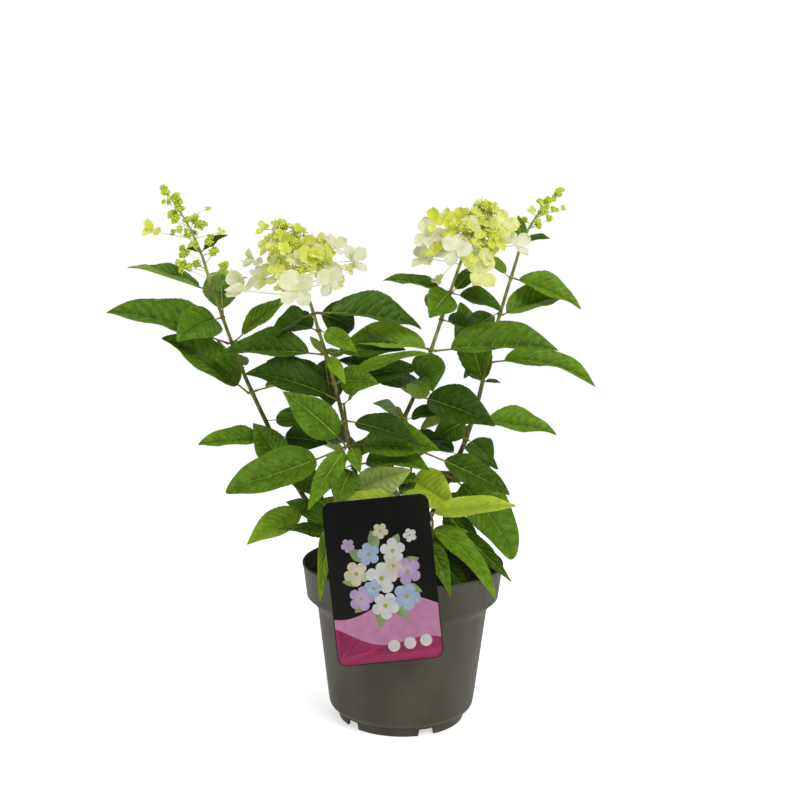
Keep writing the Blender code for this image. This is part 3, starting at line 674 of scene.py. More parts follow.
def ruled_pairs(guides, lowest, count, length, outward):
    """Pairs of leaves up a shoot, by turns wide apart and close, on its open side."""
    top = guides[-1][2]
    pairs = []
    for step in range(count):
        share = step / (count - 1)
        size = length * (1 - 0.3 * share)
        spread = CLOSE_PAIR if step % 2 else WIDE_PAIR
        specs = []
        for side, tint in ((-1, "dark"), (1, "mid")):
            angle = math.radians(outward + side * (spread + 6 * math.sin(5 * step + side)))
            rise = size * (0.1 + 0.3 * share)
            specs.append(leaf(size * math.cos(angle), size * math.sin(angle), rise, tint, roll=-40))
        pairs.append((lowest + (top - 1.5 - lowest) * share, *specs))
    return pairs


back_left = [(-20, 9, 147), (-45, 48, 205), (-61, 74, 290)]
back_right = [(-8, 10, 147), (4, 50, 195), (10, 84, 260)]
SHOOTS["back_left"] = {"guides": back_left, "nodes": ruled_pairs(back_left, 183, 3, 74, 118)}
SHOOTS["back_right"] = {"guides": back_right, "nodes": ruled_pairs(back_right, 206, 3, 70, 70)}
print("nodes on canes:", sum(len(cane["nodes"]) for cane in CANES.values()))

# %% [markdown]
# A cane's line passes through its guide points. Between two of them it is a cubic whose slope at
# each end is set by the points on either side, so the cane bends without a kink.

# %% Lines of canes and shoots
CANE_FOOT_RADIUS = 2.7
CANE_TIP_RADIUS = 1.4
SHOOT_RADII = (1.6, 1.1)


def cane_centre(guides, height):
    """The point at a height on the smooth line through a cane's guide points."""
    last = len(guides) - 2
    span = 0
    while span < last and height > guides[span + 1][2]:
        span += 1
    low, high = Vector(guides[span]), Vector(guides[span + 1])
    before = Vector(guides[max(span - 1, 0)])
    after = Vector(guides[min(span + 2, last + 1)])
    rise = high.z - low.z
    slope_low = (high - before) / (high.z - before.z) * rise
    slope_high = (after - low) / (after.z - low.z) * rise
    t = (height - low.z) / rise
    point = (low * (2 * t ** 3 - 3 * t ** 2 + 1) + slope_low * (t ** 3 - 2 * t ** 2 + t)
             + high * (3 * t ** 2 - 2 * t ** 3) + slope_high * (t ** 3 - t ** 2))
    point.z = height
    return point


def cane_heading(guides, height):
    """Which way a cane grows at a height."""
    top = min(height + 2.0, guides[-1][2])
    return (cane_centre(guides, top) - cane_centre(guides, top - 4.0)).normalized()


def cane_radius(guides, height):
    """A cane's radius at a height, between its nodes."""
    share = (height - guides[0][2]) / (guides[-1][2] - guides[0][2])
    return CANE_FOOT_RADIUS + (CANE_TIP_RADIUS - CANE_FOOT_RADIUS) * share

# %% [markdown]
# ## Canes with their bark
#
# A cane swells at each node, where its leaves join it, and its bark is fluted lengthwise.
# Last year's wood is brown at the foot. This year's growth is still green at the top, so the
# colour changes with height: the bark reads its own height and mixes wood into green.

# %% Bark
STREAK_WIDTH = 2.2
MIX_A, MIX_B, MIX_RESULT = 6, 7, 2


def growing_bark(name, wood, young, low, high):
    """Streaky bark that turns from wood to young green between two heights, in millimetres."""
    made, shader = blank_finish(name, 0.6, 0.15)
    tree = made.node_tree
    streaks = noise_node(made, STREAK_WIDTH, (1.0, 1.0, 9.0), detail=4.0)
    places = tree.nodes.new("ShaderNodeTexCoord")
    parts = tree.nodes.new("ShaderNodeSeparateXYZ")
    share = tree.nodes.new("ShaderNodeMapRange")
    share.inputs["From Min"].default_value = low * MM
    share.inputs["From Max"].default_value = high * MM
    blend = tree.nodes.new("ShaderNodeMix")
    blend.data_type = "RGBA"
    tree.links.new(places.outputs["Object"], parts.inputs["Vector"])
    tree.links.new(parts.outputs["Z"], share.inputs["Value"])
    tree.links.new(share.outputs["Result"], blend.inputs["Factor"])
    tree.links.new(ramp_node(made, streaks, wood), blend.inputs[MIX_A])
    tree.links.new(ramp_node(made, streaks, young), blend.inputs[MIX_B])
    tree.links.new(blend.outputs[MIX_RESULT], shader.inputs["Base Color"])
    add_gloss(made, shader, streaks, 0.7, 0.5)
    add_relief(made, shader, noise_node(made, 0.9, (1.0, 1.0, 5.0)), 0.15)
    return made


WOOD = [(52, 40, 26), (86, 68, 44), (120, 100, 68)]
YOUNG = [(96, 100, 40), (120, 127, 56), (146, 152, 80)]
bark = growing_bark("cane_bark", WOOD, YOUNG, 240.0, 380.0)

# %% Canes
NODE_LENGTH = 2.2
NODE_SWELLING = 0.28
FLUTE_DEPTH = 0.10
FLUTE_LENGTH = 14.0
FLUTES_ROUND = 1.7


def limb_line(guides):
    """The middle line of a cane or a shoot, from its foot at t = 0 to its top at 1."""
    foot, top = guides[0][2], guides[-1][2]
    return lambda t: cane_centre(guides, foot + (top - foot) * t)


def cane_girth(guides, node_heights, seed):
    """The radius of a cane: its taper, a swelling at each node, and lengthwise flutes."""
    foot, top = guides[0][2], guides[-1][2]

    def girth(t, angle):
        height = foot + (top - foot) * t
        swelling = sum(math.exp(-((height - node) / NODE_LENGTH) ** 2) for node in node_heights)
        flutes = noise.noise(Vector((math.cos(angle) * FLUTES_ROUND, math.sin(angle) * FLUTES_ROUND,
                                     height / FLUTE_LENGTH + seed)))
        return cane_radius(guides, height) * (1.0 + NODE_SWELLING * swelling + FLUTE_DEPTH * flutes)
    return girth


for count, (name, cane) in enumerate(CANES.items()):
    node_heights = [height for height, *specs in cane["nodes"]]
    shape = bmesh.new()
    add_limb(shape, limb_line(cane["guides"]),
             cane_girth(cane["guides"], node_heights, 7.0 * count), 14, 130)
    scene_piece("bark_" + name, mesh_of(shape, name), [bark], ["cane_" + name])

# %% [markdown]
# At the compost the canes rise from one woody knuckle. It is a turned stock that a noise makes
# lumpy, with a short limb out to the foot of each cane and shoot.

# %% The woody crown
CROWN_PLACE = Vector((-14.0, 2.0, 0.0))
CROWN_PROFILE = [(0.0, 9.0), (5.0, 8.4), (7.4, 4.0), (10.3, 0.4), (0.0, 0.4)]
CROWN_LUMP = 2.6
CROWN_LUMP_DEPTH = 0.7
CROWN_HEART = 4.3

shape = bmesh.new()
shape.from_mesh(turned([(radius, SOIL_LEVEL + rise) for radius, rise in CROWN_PROFILE], 36,
                       "crown_stock"))
bmesh.ops.subdivide_edges(shape, edges=shape.edges, cuts=2, use_grid_fill=True)
for knot in shape.verts:
    lump = noise.noise(knot.co / (CROWN_LUMP * MM)) * CROWN_LUMP_DEPTH
    knot.co += knot.co.normalized() * (lump * MM)
bmesh.ops.translate(shape, verts=shape.verts, vec=CROWN_PLACE * MM)
root = CROWN_PLACE + UP * (SOIL_LEVEL + CROWN_HEART)
feet = ([(cane["guides"], CANE_FOOT_RADIUS) for cane in CANES.values()]
        + [(shoot["guides"], SHOOT_RADII[0]) for shoot in SHOOTS.values()])
for guides, girth in feet:
    start = Vector(guides[0])
    heading = cane_heading(guides, guides[0][2])
    add_limb(shape, lambda t: bend(root, start - heading * 3.0, start + heading * 0.4, t),
             taper(girth + 1.0, girth), 12, 8)
scene_piece("crown_wood", mesh_of(shape, "crown_wood"), [bark], ["root_crown"])

# %% [markdown]
# ## Leaves
#
# A hydrangea leaf is folded along its midrib, arches, and often curls down at its tip. Seven
# veins sweep forward on each side, the green swells between them and is a little crinkled, and
# the margin is finely toothed. The blade is a grid whose rows sweep forward as the veins do: each
# point is worked out from its row and from how far it is across. A sculpted leaf would have to be
# bent for each place, and this sum gives every leaf its own arch, fold and crinkle. It places the
# veins too, so they lie exactly in their furrows.

# %% The blade's outline, and which way it faces
def blade_outline(t, point):
    """Half the blade's width at t from base to tip, as a share of its greatest half width."""
    return max(math.sin(math.pi * t ** 0.78), 0.0) ** point * (1.04 - 0.32 * t ** 4)


def face_normal(heading, roll):
    """Straight up for roll 0, and turned about the leaf's own line towards the front above it."""
    front = (FRONT - heading * FRONT.dot(heading)).normalized()
    mixed = UP * math.cos(math.radians(roll)) + front * math.sin(math.radians(roll))
    return (mixed - heading * mixed.dot(heading)).normalized()

# %% [markdown]
# Rows and veins share one rule for how they sweep forward, so a vein runs along a row. That lets
# furrows and swellings follow the veins with few rows, and without stair steps.

# %% Rows and veins
VEINS = 7
VEIN_FIRST = 0.03
VEIN_SPACING = 0.115
FULL_SWEEP_FROM = 0.08


def swept(row, away):
    """Where a row of the blade lies along it, once it has run this far out from the midrib.

    A row sweeps forward as a vein does, fully from a little above the base and less and less
    towards the tip.
    """
    sweep = 0.26 * away + 0.15 * away ** 2
    return row + sweep * (1 - row) * (1 - math.exp(-row / FULL_SWEEP_FROM))


def vein_phase(row):
    """Counts the veins along the midrib: a whole number on a vein, a half midway to the next."""
    return (row - VEIN_FIRST) / VEIN_SPACING

# %% [markdown]
# A leaf, stalk and all, follows one smooth arc from its node to its tip. The surface adds up what
# lifts each point off that arc: the fold, a furrow over each vein, the swell of the blade's
# halves, a slow wave along the margin and a fine crinkle. The wave and the crinkle fade out
# towards base and tip. Towards its tip the whole leaf curls down.

# %% The arc of a leaf
def leaf_arc(start, spec):
    """The middle and the end of the arc that a leaf follows from its node."""
    end = start + spec["reach"]
    return start.lerp(end, 0.5) + UP * (spec["arch"] * spec["reach"].length), end

# %% The leaf's surface
CURL_START = 0.7
CURL_SPAN = 0.3
CRINKLE_SIZE = 7.0
CRINKLE_DEPTH = 0.9
QUILT_SHARE = 0.0075
QUILT_MOST = 0.5
BULGE = 0.30
MARGIN_WAVE = 0.03


def leaf_surface(start, spec, seed):
    """Returns surface(row, side, rise), which gives the points of a leaf's blade.

    The side runs from -1 to 1 across the blade, and rise is in millimetres above its middle.
    """
    middle, end = leaf_arc(start, spec)
    length = spec["reach"].length
    foot = spec["stalk"]
    half_width = spec["width"] * length * (1 - foot) / 2
    quilt = min(QUILT_MOST, QUILT_SHARE * length)
    fold = spec["fold"]
    rows = {}

    def surface(row, side, rise=0.0):
        away = abs(side)
        t = min(swept(row, away), 1.0)
        if t not in rows:
            along = foot + (1 - foot) * t
            heading = bend_heading(start, middle, end, along)
            normal = face_normal(heading, spec["roll"])
            drop = spec["curl"] * length * max((t - CURL_START) / CURL_SPAN, 0.0) ** 2
            rows[t] = (bend(start, middle, end, along) - normal * drop, heading.cross(normal),
                       normal, blade_outline(t, spec["point"]) * half_width)
        place, across, normal, reach = rows[t]
        inland = math.sin(math.pi * t)
        valley = -math.cos(math.tau * vein_phase(row))
        furrow = valley * quilt * math.sqrt(max(inland, 0.0)) * (1 - min(away, 1.0) ** 3)
        bulge = BULGE * reach * away * (1 - away)
        spot = Vector((t * length, side * reach, 5.0 * seed))
        crinkle = CRINKLE_DEPTH * noise.noise(spot / CRINKLE_SIZE) * min(1.0, away * 3)
        phase = 2.1 if side > 0 else 0.0
        wave = MARGIN_WAVE * length * away ** 2 * math.sin(9.0 * t + seed + phase)
        lift = (away * reach * math.sin(fold) + furrow * min(1.0, away * 5) + bulge
                + (wave + crinkle) * inland + rise)
        return place + across * (side * reach * math.cos(fold)) + normal * lift
    return surface

# %% [markdown]
# The blade starts as a flat grid, so its furrows and swellings can be told by where a face lies
# before it is bent. The furrows get painted shade, a deeper tone, and the swellings a painted
# highlight, a lighter one. From vein to vein is one step of the vein count, and the half width of
# a shaded furrow is told as a share of that step.

# %% Finishes on a flat blade, with painted shade and painted highlight
# The furrow tone is painted shade and the swelling tone a painted highlight, both on the upper face.
BLADE, UNDERSIDE, SIDE_VEIN, MIDRIB, FURROW_SHADE, SWELLING_HIGHLIGHT = range(6)
SHADED_FURROW_HALF, SHADED_FURROW_END = 0.13, 0.8
HIGHLIGHT_FROM, HIGHLIGHT_END = 0.32, 0.7
MIDRIB_SHADE = 0.1


def move_into(pile, shape, kind=BLADE):
    """Move a small bmesh into a large one, with its faces in one of the piece's finishes."""
    if kind != BLADE:
        for face in shape.faces:
            face.material_index = kind
    spare = joined(shape, "spare")
    pile.from_mesh(spare)
    bpy.data.meshes.remove(spare)


def blade_row(share):
    """Rows of the blade's grid lie closer together near its base, where veins fan out."""
    return min(max(share, 0.0), 1.0) ** 1.35


def blade_finish(along, away):
    """The finish of a flat blade's face: painted shade in its furrows, a painted highlight on its
    swellings.
    """
    from_vein = abs((vein_phase(blade_row(along)) + 0.5) % 1.0 - 0.5)
    if (from_vein < SHADED_FURROW_HALF and away < SHADED_FURROW_END) or away < MIDRIB_SHADE:
        return FURROW_SHADE
    if from_vein > HIGHLIGHT_FROM and away < HIGHLIGHT_END:
        return SWELLING_HIGHLIGHT
    return BLADE

# %% [markdown]
# Then each point moves to its place, with every third point of the margin inside the two that
# follow, which makes the teeth. `solidify` gives the sheet its thickness and its underside.

# %% The blade
TEETH = 24
STEPS_PER_TOOTH = 3
TOOTH_DEPTH = 1.2
BLADE_STEPS = TEETH * STEPS_PER_TOOTH
BLADE_ACROSS = 14
BLADE_THICKNESS = 0.4
print("one blade:", BLADE_STEPS, "by", BLADE_ACROSS, "cells")


def add_blade(pile, surface, half_width):
    """Add a blade with a toothed margin to a pile, as a closed thin leaf."""
    shape = bmesh.new()
    bmesh.ops.create_grid(shape, x_segments=BLADE_STEPS, y_segments=BLADE_ACROSS, size=0.5)
    # Faces over the furrows take painted shade, faces on the swellings a painted highlight.
    for face in shape.faces:
        middle = face.calc_center_median()
        face.material_index = blade_finish(middle.x + 0.5, abs(middle.y) * 2)
    for knot in shape.verts:
        step = round((knot.co.x + 0.5) * BLADE_STEPS)
        side = round(knot.co.y * BLADE_ACROSS) / BLADE_ACROSS * 2
        if abs(side) > 0.99:
            tooth = (step % STEPS_PER_TOOTH) / STEPS_PER_TOOTH - 0.4
            side *= 1.0 + TOOTH_DEPTH / half_width * tooth
        knot.co = surface(blade_row(step / BLADE_STEPS), side, BLADE_THICKNESS / 2) * MM
    bmesh.ops.remove_doubles(shape, verts=shape.verts, dist=0.01 * MM)
    bmesh.ops.recalc_face_normals(shape, faces=shape.faces)
    upward = surface(0.5, 0.0, 1.0) - surface(0.5, 0.0)
    if sum(face.normal.dot(upward) * face.calc_area() for face in shape.faces) < 0:
        bmesh.ops.reverse_faces(shape, faces=shape.faces)
    thick = bmesh.ops.solidify(shape, geom=list(shape.faces), thickness=BLADE_THICKNESS * MM)
    for part in thick["geom"]:
        if isinstance(part, bmesh.types.BMFace):
            part.material_index = UNDERSIDE
    move_into(pile, shape)

# %% [markdown]
# Veins and midrib are limbs laid in the blade's own surface, so they stand out of both its faces.

# %% Veins
VEIN_GIRTHS = (0.0045, 0.32, 0.45)
VEIN_REACH = 0.92
MIDRIB_REACH = 0.98


def girth_for(length, girths):
    """A radius that grows with the leaf, by a share of its length, between two limits."""
    share, least, most = girths
    return min(max(share * length, least), most)


def add_veins(pile, surface, length):
    """Add a leaf's side veins and midrib, which stand out of the blade on both its faces."""
    girth = girth_for(length, VEIN_GIRTHS)
    side_veins = bmesh.new()
    for number in range(VEINS):
        row = VEIN_FIRST + VEIN_SPACING * number
        for side in (-1, 1):
            add_limb(side_veins, lambda t: surface(row, side * VEIN_REACH * t),
                     taper(girth, girth * 0.6), 3, 6)
    move_into(pile, side_veins, SIDE_VEIN)
    midrib = bmesh.new()
    add_limb(midrib, lambda t: surface(t * MIDRIB_REACH, 0.0), taper(girth * 1.9, girth * 0.7), 5, 16)
    move_into(pile, midrib, MIDRIB)

# %% [markdown]
# A whole leaf is its blade, its veins and its stalk. The stalk follows the same arc as the blade
# and flares where it clasps the cane.

# %% One whole leaf
STALK_GIRTHS = (0.0135, 0.55, 1.15)
STALK_SUNK = 0.05
STALK_FLARE = 0.6


def grow_leaf(start, spec, node):
    """Grow one leaf: blade and veins go to the pile of its tint, the stalk to the stalks."""
    length = spec["reach"].length
    pile = piles[spec["tint"]]
    surface = leaf_surface(start, spec, len(grown))
    add_blade(pile, surface, spec["width"] * length / 2)
    add_veins(pile, surface, length)
    middle, end = leaf_arc(start, spec)
    last = spec["stalk"] + STALK_SUNK
    thick = girth_for(length, STALK_GIRTHS)
    stalk = bmesh.new()
    add_limb(stalk, lambda t: bend(start, middle, end, t * last),
             lambda t, angle: thick * (0.72 + STALK_FLARE * (1 - t) ** 6), 7, 8)
    move_into(piles["stalks"], stalk)
    for kind in (spec["tint"], "stalks"):
        nodes_in[kind].add(node)
    grown.append(node)

# %% [markdown]
# Leaves of one tint form one piece, whichever cane they grow from. The tints are plain, close
# tones with a leathery grain, paler below, and the veins are paler still. Over each vein the
# furrow carries painted shade, and the swelling between two veins a painted highlight.

# %% The tints of leaves
# Each tint is partly a leaf's own green and partly painted light and shade: deeper for a leaf in
# shade, brighter for a well lit one.
TINTS = {
    "deep": (50, 77, 13),
    "dark": (64, 94, 16),
    "mid": (83, 115, 20),
    "fresh": (98, 132, 25),
    "bright": (122, 154, 38),
    "lime": (160, 182, 52),
    "pale": (164, 184, 98),
    "grey": (104, 128, 76),
}
PALE_GREEN = (190, 206, 104)
print("leaf tints:", list(TINTS))

# %% Leaf finishes
DRIFT = 0.095
LIGHT_LEAF = 150


def leaf_finishes(tint):
    """Blade, paler underside, side veins, midrib, painted furrow shade and painted swelling highlight
    of one tint's leaves.
    """
    green = TINTS[tint]
    strength = 0.45 if green[1] > LIGHT_LEAF else 1.0

    def shade(share):
        return tuple(part * share for part in green)

    def toward_pale(share):
        return tuple(part + (pale - part) * share for part, pale in zip(green, PALE_GREEN))

    def upper(name, share):
        change = DRIFT * strength
        return drifting(name + tint, [shade(share - change), shade(share), shade(share + change)],
                        spot=5.5, grain=1.3, relief=0.16, rough=(0.46, 0.36), specular=0.11)
    return [
        upper("leaf_", 1.0),
        drifting("leaf_under_" + tint, [toward_pale(0.32), toward_pale(0.44)], spot=12.0,
                 grain=1.1, relief=0.06, rough=(0.7, 0.6), specular=0.1),
        drifting("vein_" + tint, [toward_pale(0.22), toward_pale(0.4)], spot=9.0, grain=0.8,
                 relief=0.03, rough=(0.55, 0.45)),
        drifting("midrib_" + tint, [toward_pale(0.55), toward_pale(0.75)], spot=9.0, grain=0.8,
                 relief=0.03, rough=(0.55, 0.45), specular=0.2),
        # Painted shade in the furrows and a painted highlight on the swellings, as deeper and lighter
        # tones.
        upper("leaf_furrow_shade_", 1 - 0.08 * strength),
        upper("leaf_swelling_highlight_", 1 + 0.04 * strength),
    ]


stalk_green = drifting("stalk_green", [(104, 78, 44), (122, 112, 54), (140, 146, 66)],
                       spot=12.0, grain=0.7, relief=0.05)

# %% Grow every leaf
NODE_CLEAR = 1.2
SHOOT_CLEAR = 0.7
piles = {kind: bmesh.new() for kind in [*TINTS, "stalks"]}
nodes_in = {kind: set() for kind in piles}
grown = []

for name, cane in CANES.items():
    guides = cane["guides"]
    for count, (height, *specs) in enumerate(cane["nodes"]):
        centre, heading = cane_centre(guides, height), cane_heading(guides, height)
        for spec in specs:
            out = spec["reach"] - heading * spec["reach"].dot(heading)
            foot = centre + out.normalized() * (cane_radius(guides, height) + NODE_CLEAR)
            grow_leaf(foot, spec, f"leaves_{name}_{count + 1}")
    for height, number, *specs in cane["between"]:
        for spec in specs:
            grow_leaf(cane_centre(guides, height), spec, f"leaves_{name}_{number}")
for name, shoot in SHOOTS.items():
    add_limb(piles["stalks"], limb_line(shoot["guides"]), taper(*SHOOT_RADII), 8, 24)
    for height, *specs in shoot["nodes"]:
        for spec in specs:
            out = spec["reach"].normalized()
            grow_leaf(cane_centre(shoot["guides"], height) + out * SHOOT_CLEAR, spec,
                      "shoot_" + name)
print("leaves grown:", len(grown))

# %% Collars where the leaves join the canes
COLLAR_LENGTH = 2.6
COLLAR_EDGE = 0.35
COLLAR_CROWN = 0.75

for name, cane in CANES.items():
    for height, *specs in cane["nodes"]:
        centre = cane_centre(cane["guides"], height)
        heading = cane_heading(cane["guides"], height)
        girth = cane_radius(cane["guides"], height) + COLLAR_EDGE
        add_limb(piles["stalks"],
                 lambda t: centre + heading * (t * COLLAR_LENGTH - COLLAR_LENGTH / 2),
                 lambda t, angle: girth + COLLAR_CROWN * math.sin(math.pi * t), 12, 6)

# %% [markdown]
# ## Flower heads
#
# A panicle is a cone of side twigs set by the golden angle. Each twig ends in a knot of buds. In
# an open head, sterile florets stand between the knots: four broad sepals round a bead. They
# open lime green at the heart of the head and turn cream at its edge. A young head has hardly
# any florets yet, and its buds stand in small clusters instead. Florets and clusters are listed
# by their places from the cane's tip, and the twigs between them follow the CAD's rule.

# %% Left head, young
GOLDEN_ANGLE = math.radians(137.5)
HEADS = {}
HEADS["left"] = {
    "apex": (-44, 5, 87), "sway": (7, 0, 0),
    "lowest": 0.05, "twigs": 14, "reach": 20.0, "knot": 4.2,
    "florets": [(-52, -8, 46, 24.0, "lime"), (12, -6, 46, 10.0, "lime"),
                (-22, 8, 12, 12.0, "lime")],
    "clusters": [(-42, 0, 84, 12), (-31, -3, 80, 9), (-38, -6, 74, 8), (-27, 0, 75, 8),
                 (-29, -4, 67, 11), (-37, -6, 61, 9), (-31, -7, 56, 12), (-22, -4, 57, 10),
                 (-14, 0, 59, 12), (-2, 2, 68, 5), (-8, -2, 50, 14), (-30, -6, 46, 11),
                 (0, -4, 38, 13), (-19, 0, 44, 10), (-22, -6, 28, 14), (-13, -4, 33, 10),
                 (-22, -10, 13, 13), (15, -10, 14, 11), (5, -6, 27, 8)],
    "bracts": [(0.3, leaf(-14, 2, 4, "dark")), (0.3, leaf(26, -5, 17, "dark"))],
}

# %% Front head, open
HEADS["front"] = {
    "apex": (-25, -10, 71), "sway": (-2, 0, 0),
    "lowest": 0.25, "twigs": 16, "reach": 33.0, "knot": 7.2,
    "florets": [(-52, 0, 37, 26.0, "cream"), (-60, -8, 12, 38.0, "cream"),
                (-8, -36, 13, 40.0, "cream"), (19, -26, 20, 32.0, "cream"),
                (20, 5, 51, 28.0, "cream"), (37, 5, 39, 32.0, "cream"),
                (-20, 34, 20, 34.0, "cream"), (12, 36, 28, 34.0, "cream"),
                (-45, 25, 22, 30.0, "pale"),
                (-42, 0, 66, 16.0, "lime"), (-5, -8, 54, 22.0, "lime"),
                (3, 2, 55, 20.0, "pale"), (9, 5, 58, 15.0, "lime"),
                (-1, -22, 41, 24.0, "lime"), (-12, -26, 39, 20.0, "pale"),
                (7, -14, 43, 20.0, "lime"), (15, -6, 46, 18.0, "lime"),
                (-27, -18, 49, 20.0, "pale"), (-38, -8, 49, 20.0, "lime"),
                (-47, -6, 26, 18.0, "cream"), (-27, -26, 30, 17.0, "lime"),
                (18, -14, 29, 18.0, "pale"), (33, 0, 31, 14.0, "pale"),
                (-24, -30, 14, 14.0, "lime"), (-12, 20, 46, 24.0, "lime"),
                (8, 22, 44, 22.0, "pale"), (-30, 22, 44, 22.0, "lime")],
    "clusters": [],
    "bracts": [],
}

# %% Middle head, open
HEADS["middle"] = {
    "apex": (25, -6, 60), "sway": (0, 0, 0),
    "lowest": 0.2, "twigs": 16, "reach": 30.0, "knot": 7.0,
    "florets": [(-23, -5, 44, 24.0, "lime"), (-26, -6, 31, 32.0, "cream"),
                (-29, 2, 12, 30.0, "cream"), (-4, -34, 19, 36.0, "cream"),
                (39, -5, 42, 30.0, "pale"), (53, 2, 24, 30.0, "cream"),
                (18, -22, -1, 36.0, "pale"), (-10, 35, 20, 32.0, "cream"),
                (22, 33, 18, 32.0, "cream"), (40, 24, 32, 28.0, "pale"),
                (3, 0, 51, 16.0, "lime"), (-1, -8, 46, 24.0, "lime"),
                (-11, 2, 48, 20.0, "lime"), (-21, -4, 19, 22.0, "lime"),
                (10, -24, 41, 20.0, "pale"), (26, -6, 46, 20.0, "pale"),
                (34, -10, 26, 22.0, "lime"), (-6, -16, 37, 24.0, "lime"),
                (16, -26, 30, 18.0, "lime"), (8, -30, 10, 18.0, "lime"),
                (24, -20, 12, 20.0, "pale"), (-17, 0, -8, 13.0, "pale"),
                (28, -16, 40, 17.0, "lime"), (16, -17, 45, 15.0, "lime"),
                (4, 22, 46, 24.0, "lime"), (24, 20, 42, 22.0, "pale")],
    "clusters": [],
    "bracts": [],
}

# %% Right head, young
HEADS["right"] = {
    "apex": (40, 6, 60), "sway": (0, 0, 0),
    "lowest": 0.35, "twigs": 10, "reach": 12.0, "knot": 3.8,
    "florets": [(11, -4, 40, 10.0, "lime")],
    "clusters": [(38, 0, 56, 8), (33, 3, 51, 8), (20, -4, 48, 7), (28, -2, 50, 9),
                 (24, -4, 40, 12), (34, 2, 42, 7), (42, 2, 43, 4), (30, 0, 32, 7),
                 (16, -4, 30, 6)],
    "bracts": [(0.1, leaf(-4, -8, 28, roll=80)), (0.15, leaf(26, -4, 4, "dark"))],
}

# %% [markdown]
# Thousands of buds and stalks can't each be an object, so the rules below only note where each
# one goes, as a matrix that turns, sizes and places a shape of unit size.

# %% Buds on a knot
BUD_RADII = {"open": 0.85, "young": 1.05}
KNOT_CORE = 0.66
BUD_STALK = 0.2
bud_places = {"open": [], "young": []}
rod_places = {"twigs": [], "pale": []}


def add_rod(kind, start, end, radius):
    """A thin straight stalk from one point to another, in millimetres."""
    run = end - start
    rod_places[kind].append(facing((start + run / 2) * MM, run.normalized(),
                                   (radius * MM, radius * MM, run.length * MM)))


def add_knot(centre, outward, radius, crowd, kind):
    """A tight round bunch of buds about a core, each on a hair-thin stalk from the bunch's foot."""
    hub = centre - outward * (radius * 0.75)
    core = radius * KNOT_CORE * MM
    bud_places[kind].append(facing(centre * MM, outward, (core, core, core)))
    for count in range(crowd):
        height = 1 - 1.55 * (count + 0.5) / crowd
        ring = math.sqrt(max(1 - height * height, 0.0))
        angle = GOLDEN_ANGLE * count
        spoke = Vector((ring * math.cos(angle), ring * math.sin(angle), height))
        spoke.rotate(outward.to_track_quat("Z", "Y"))
        place = centre + spoke * (radius * rng.uniform(0.62, 1.08))
        girth = BUD_RADII[kind] * rng.uniform(0.75, 1.2)
        bud_places[kind].append(facing(place * MM, spoke, Vector((girth, girth, girth * 1.2)) * MM))
        add_rod("twigs", hub, place, BUD_STALK)

# %% Florets of four sepals
SEPAL_LAP = 0.3
EYE_SHARE = 0.035
sepal_places = {"cream": [], "pale": [], "lime": []}
eye_places = []


def add_floret(centre, outward, size, kind, spin):
    """Four broad sepals round a small bead. Opposite sepals are held at a like slant."""
    turned_out = facing(centre * MM, outward, (1.0, 1.0, 1.0), spin)
    slants = [rng.uniform(-0.2, 0.35), rng.uniform(0.1, 0.95)]
    for quarter in range(4):
        length = size / 2 * rng.uniform(0.88, 1.06) * (1.0 if quarter % 2 else 0.92)
        slant = slants[quarter % 2] + rng.uniform(-0.15, 0.15)
        turn = quarter * math.pi / 2 + rng.uniform(-0.15, 0.15)
        sepal_places[kind].append(
            turned_out @ Matrix.Translation((0.0, 0.0, SEPAL_LAP * MM * (quarter % 2)))
            @ Matrix.Rotation(turn, 4, "Z") @ Matrix.Rotation(-slant, 4, "Y")
            @ Matrix.Diagonal((length * MM, length * rng.uniform(0.72, 1.02) * MM,
                               length * rng.uniform(0.3, 2.0) * MM, 1.0)))
    eye_places.append(facing((centre + outward * 0.6) * MM, outward,
                             Vector((1.0, 1.0, 0.8)) * (size * EYE_SHARE * MM)))


def lean_about(direction, amount):
    """A direction near the given one, off by up to about the given amount."""
    stray = Vector((rng.uniform(-1, 1), rng.uniform(-1, 1), rng.uniform(-1, 1)))
    return (direction + stray * amount).normalized()

# %% [markdown]
# Side twigs go round the axis by the golden angle, as leaves and buds do on most plants, so no
# two stand above each other. They grow shorter and their knots smaller towards the apex. A young
# head's twigs are left out where its listed clusters stand, in front.

# %% Side twigs, by the CAD's rule
TOP_TWIG = 0.97
TWIG_RISE = 0.25
KNOT_TAPER = 0.35
BUDS_ON_KNOT = {"open": 44, "young": 20}
YOUNG_FLORET = 17.0
FLORETS_APART = 1.1
PALE_SHARE = 0.3


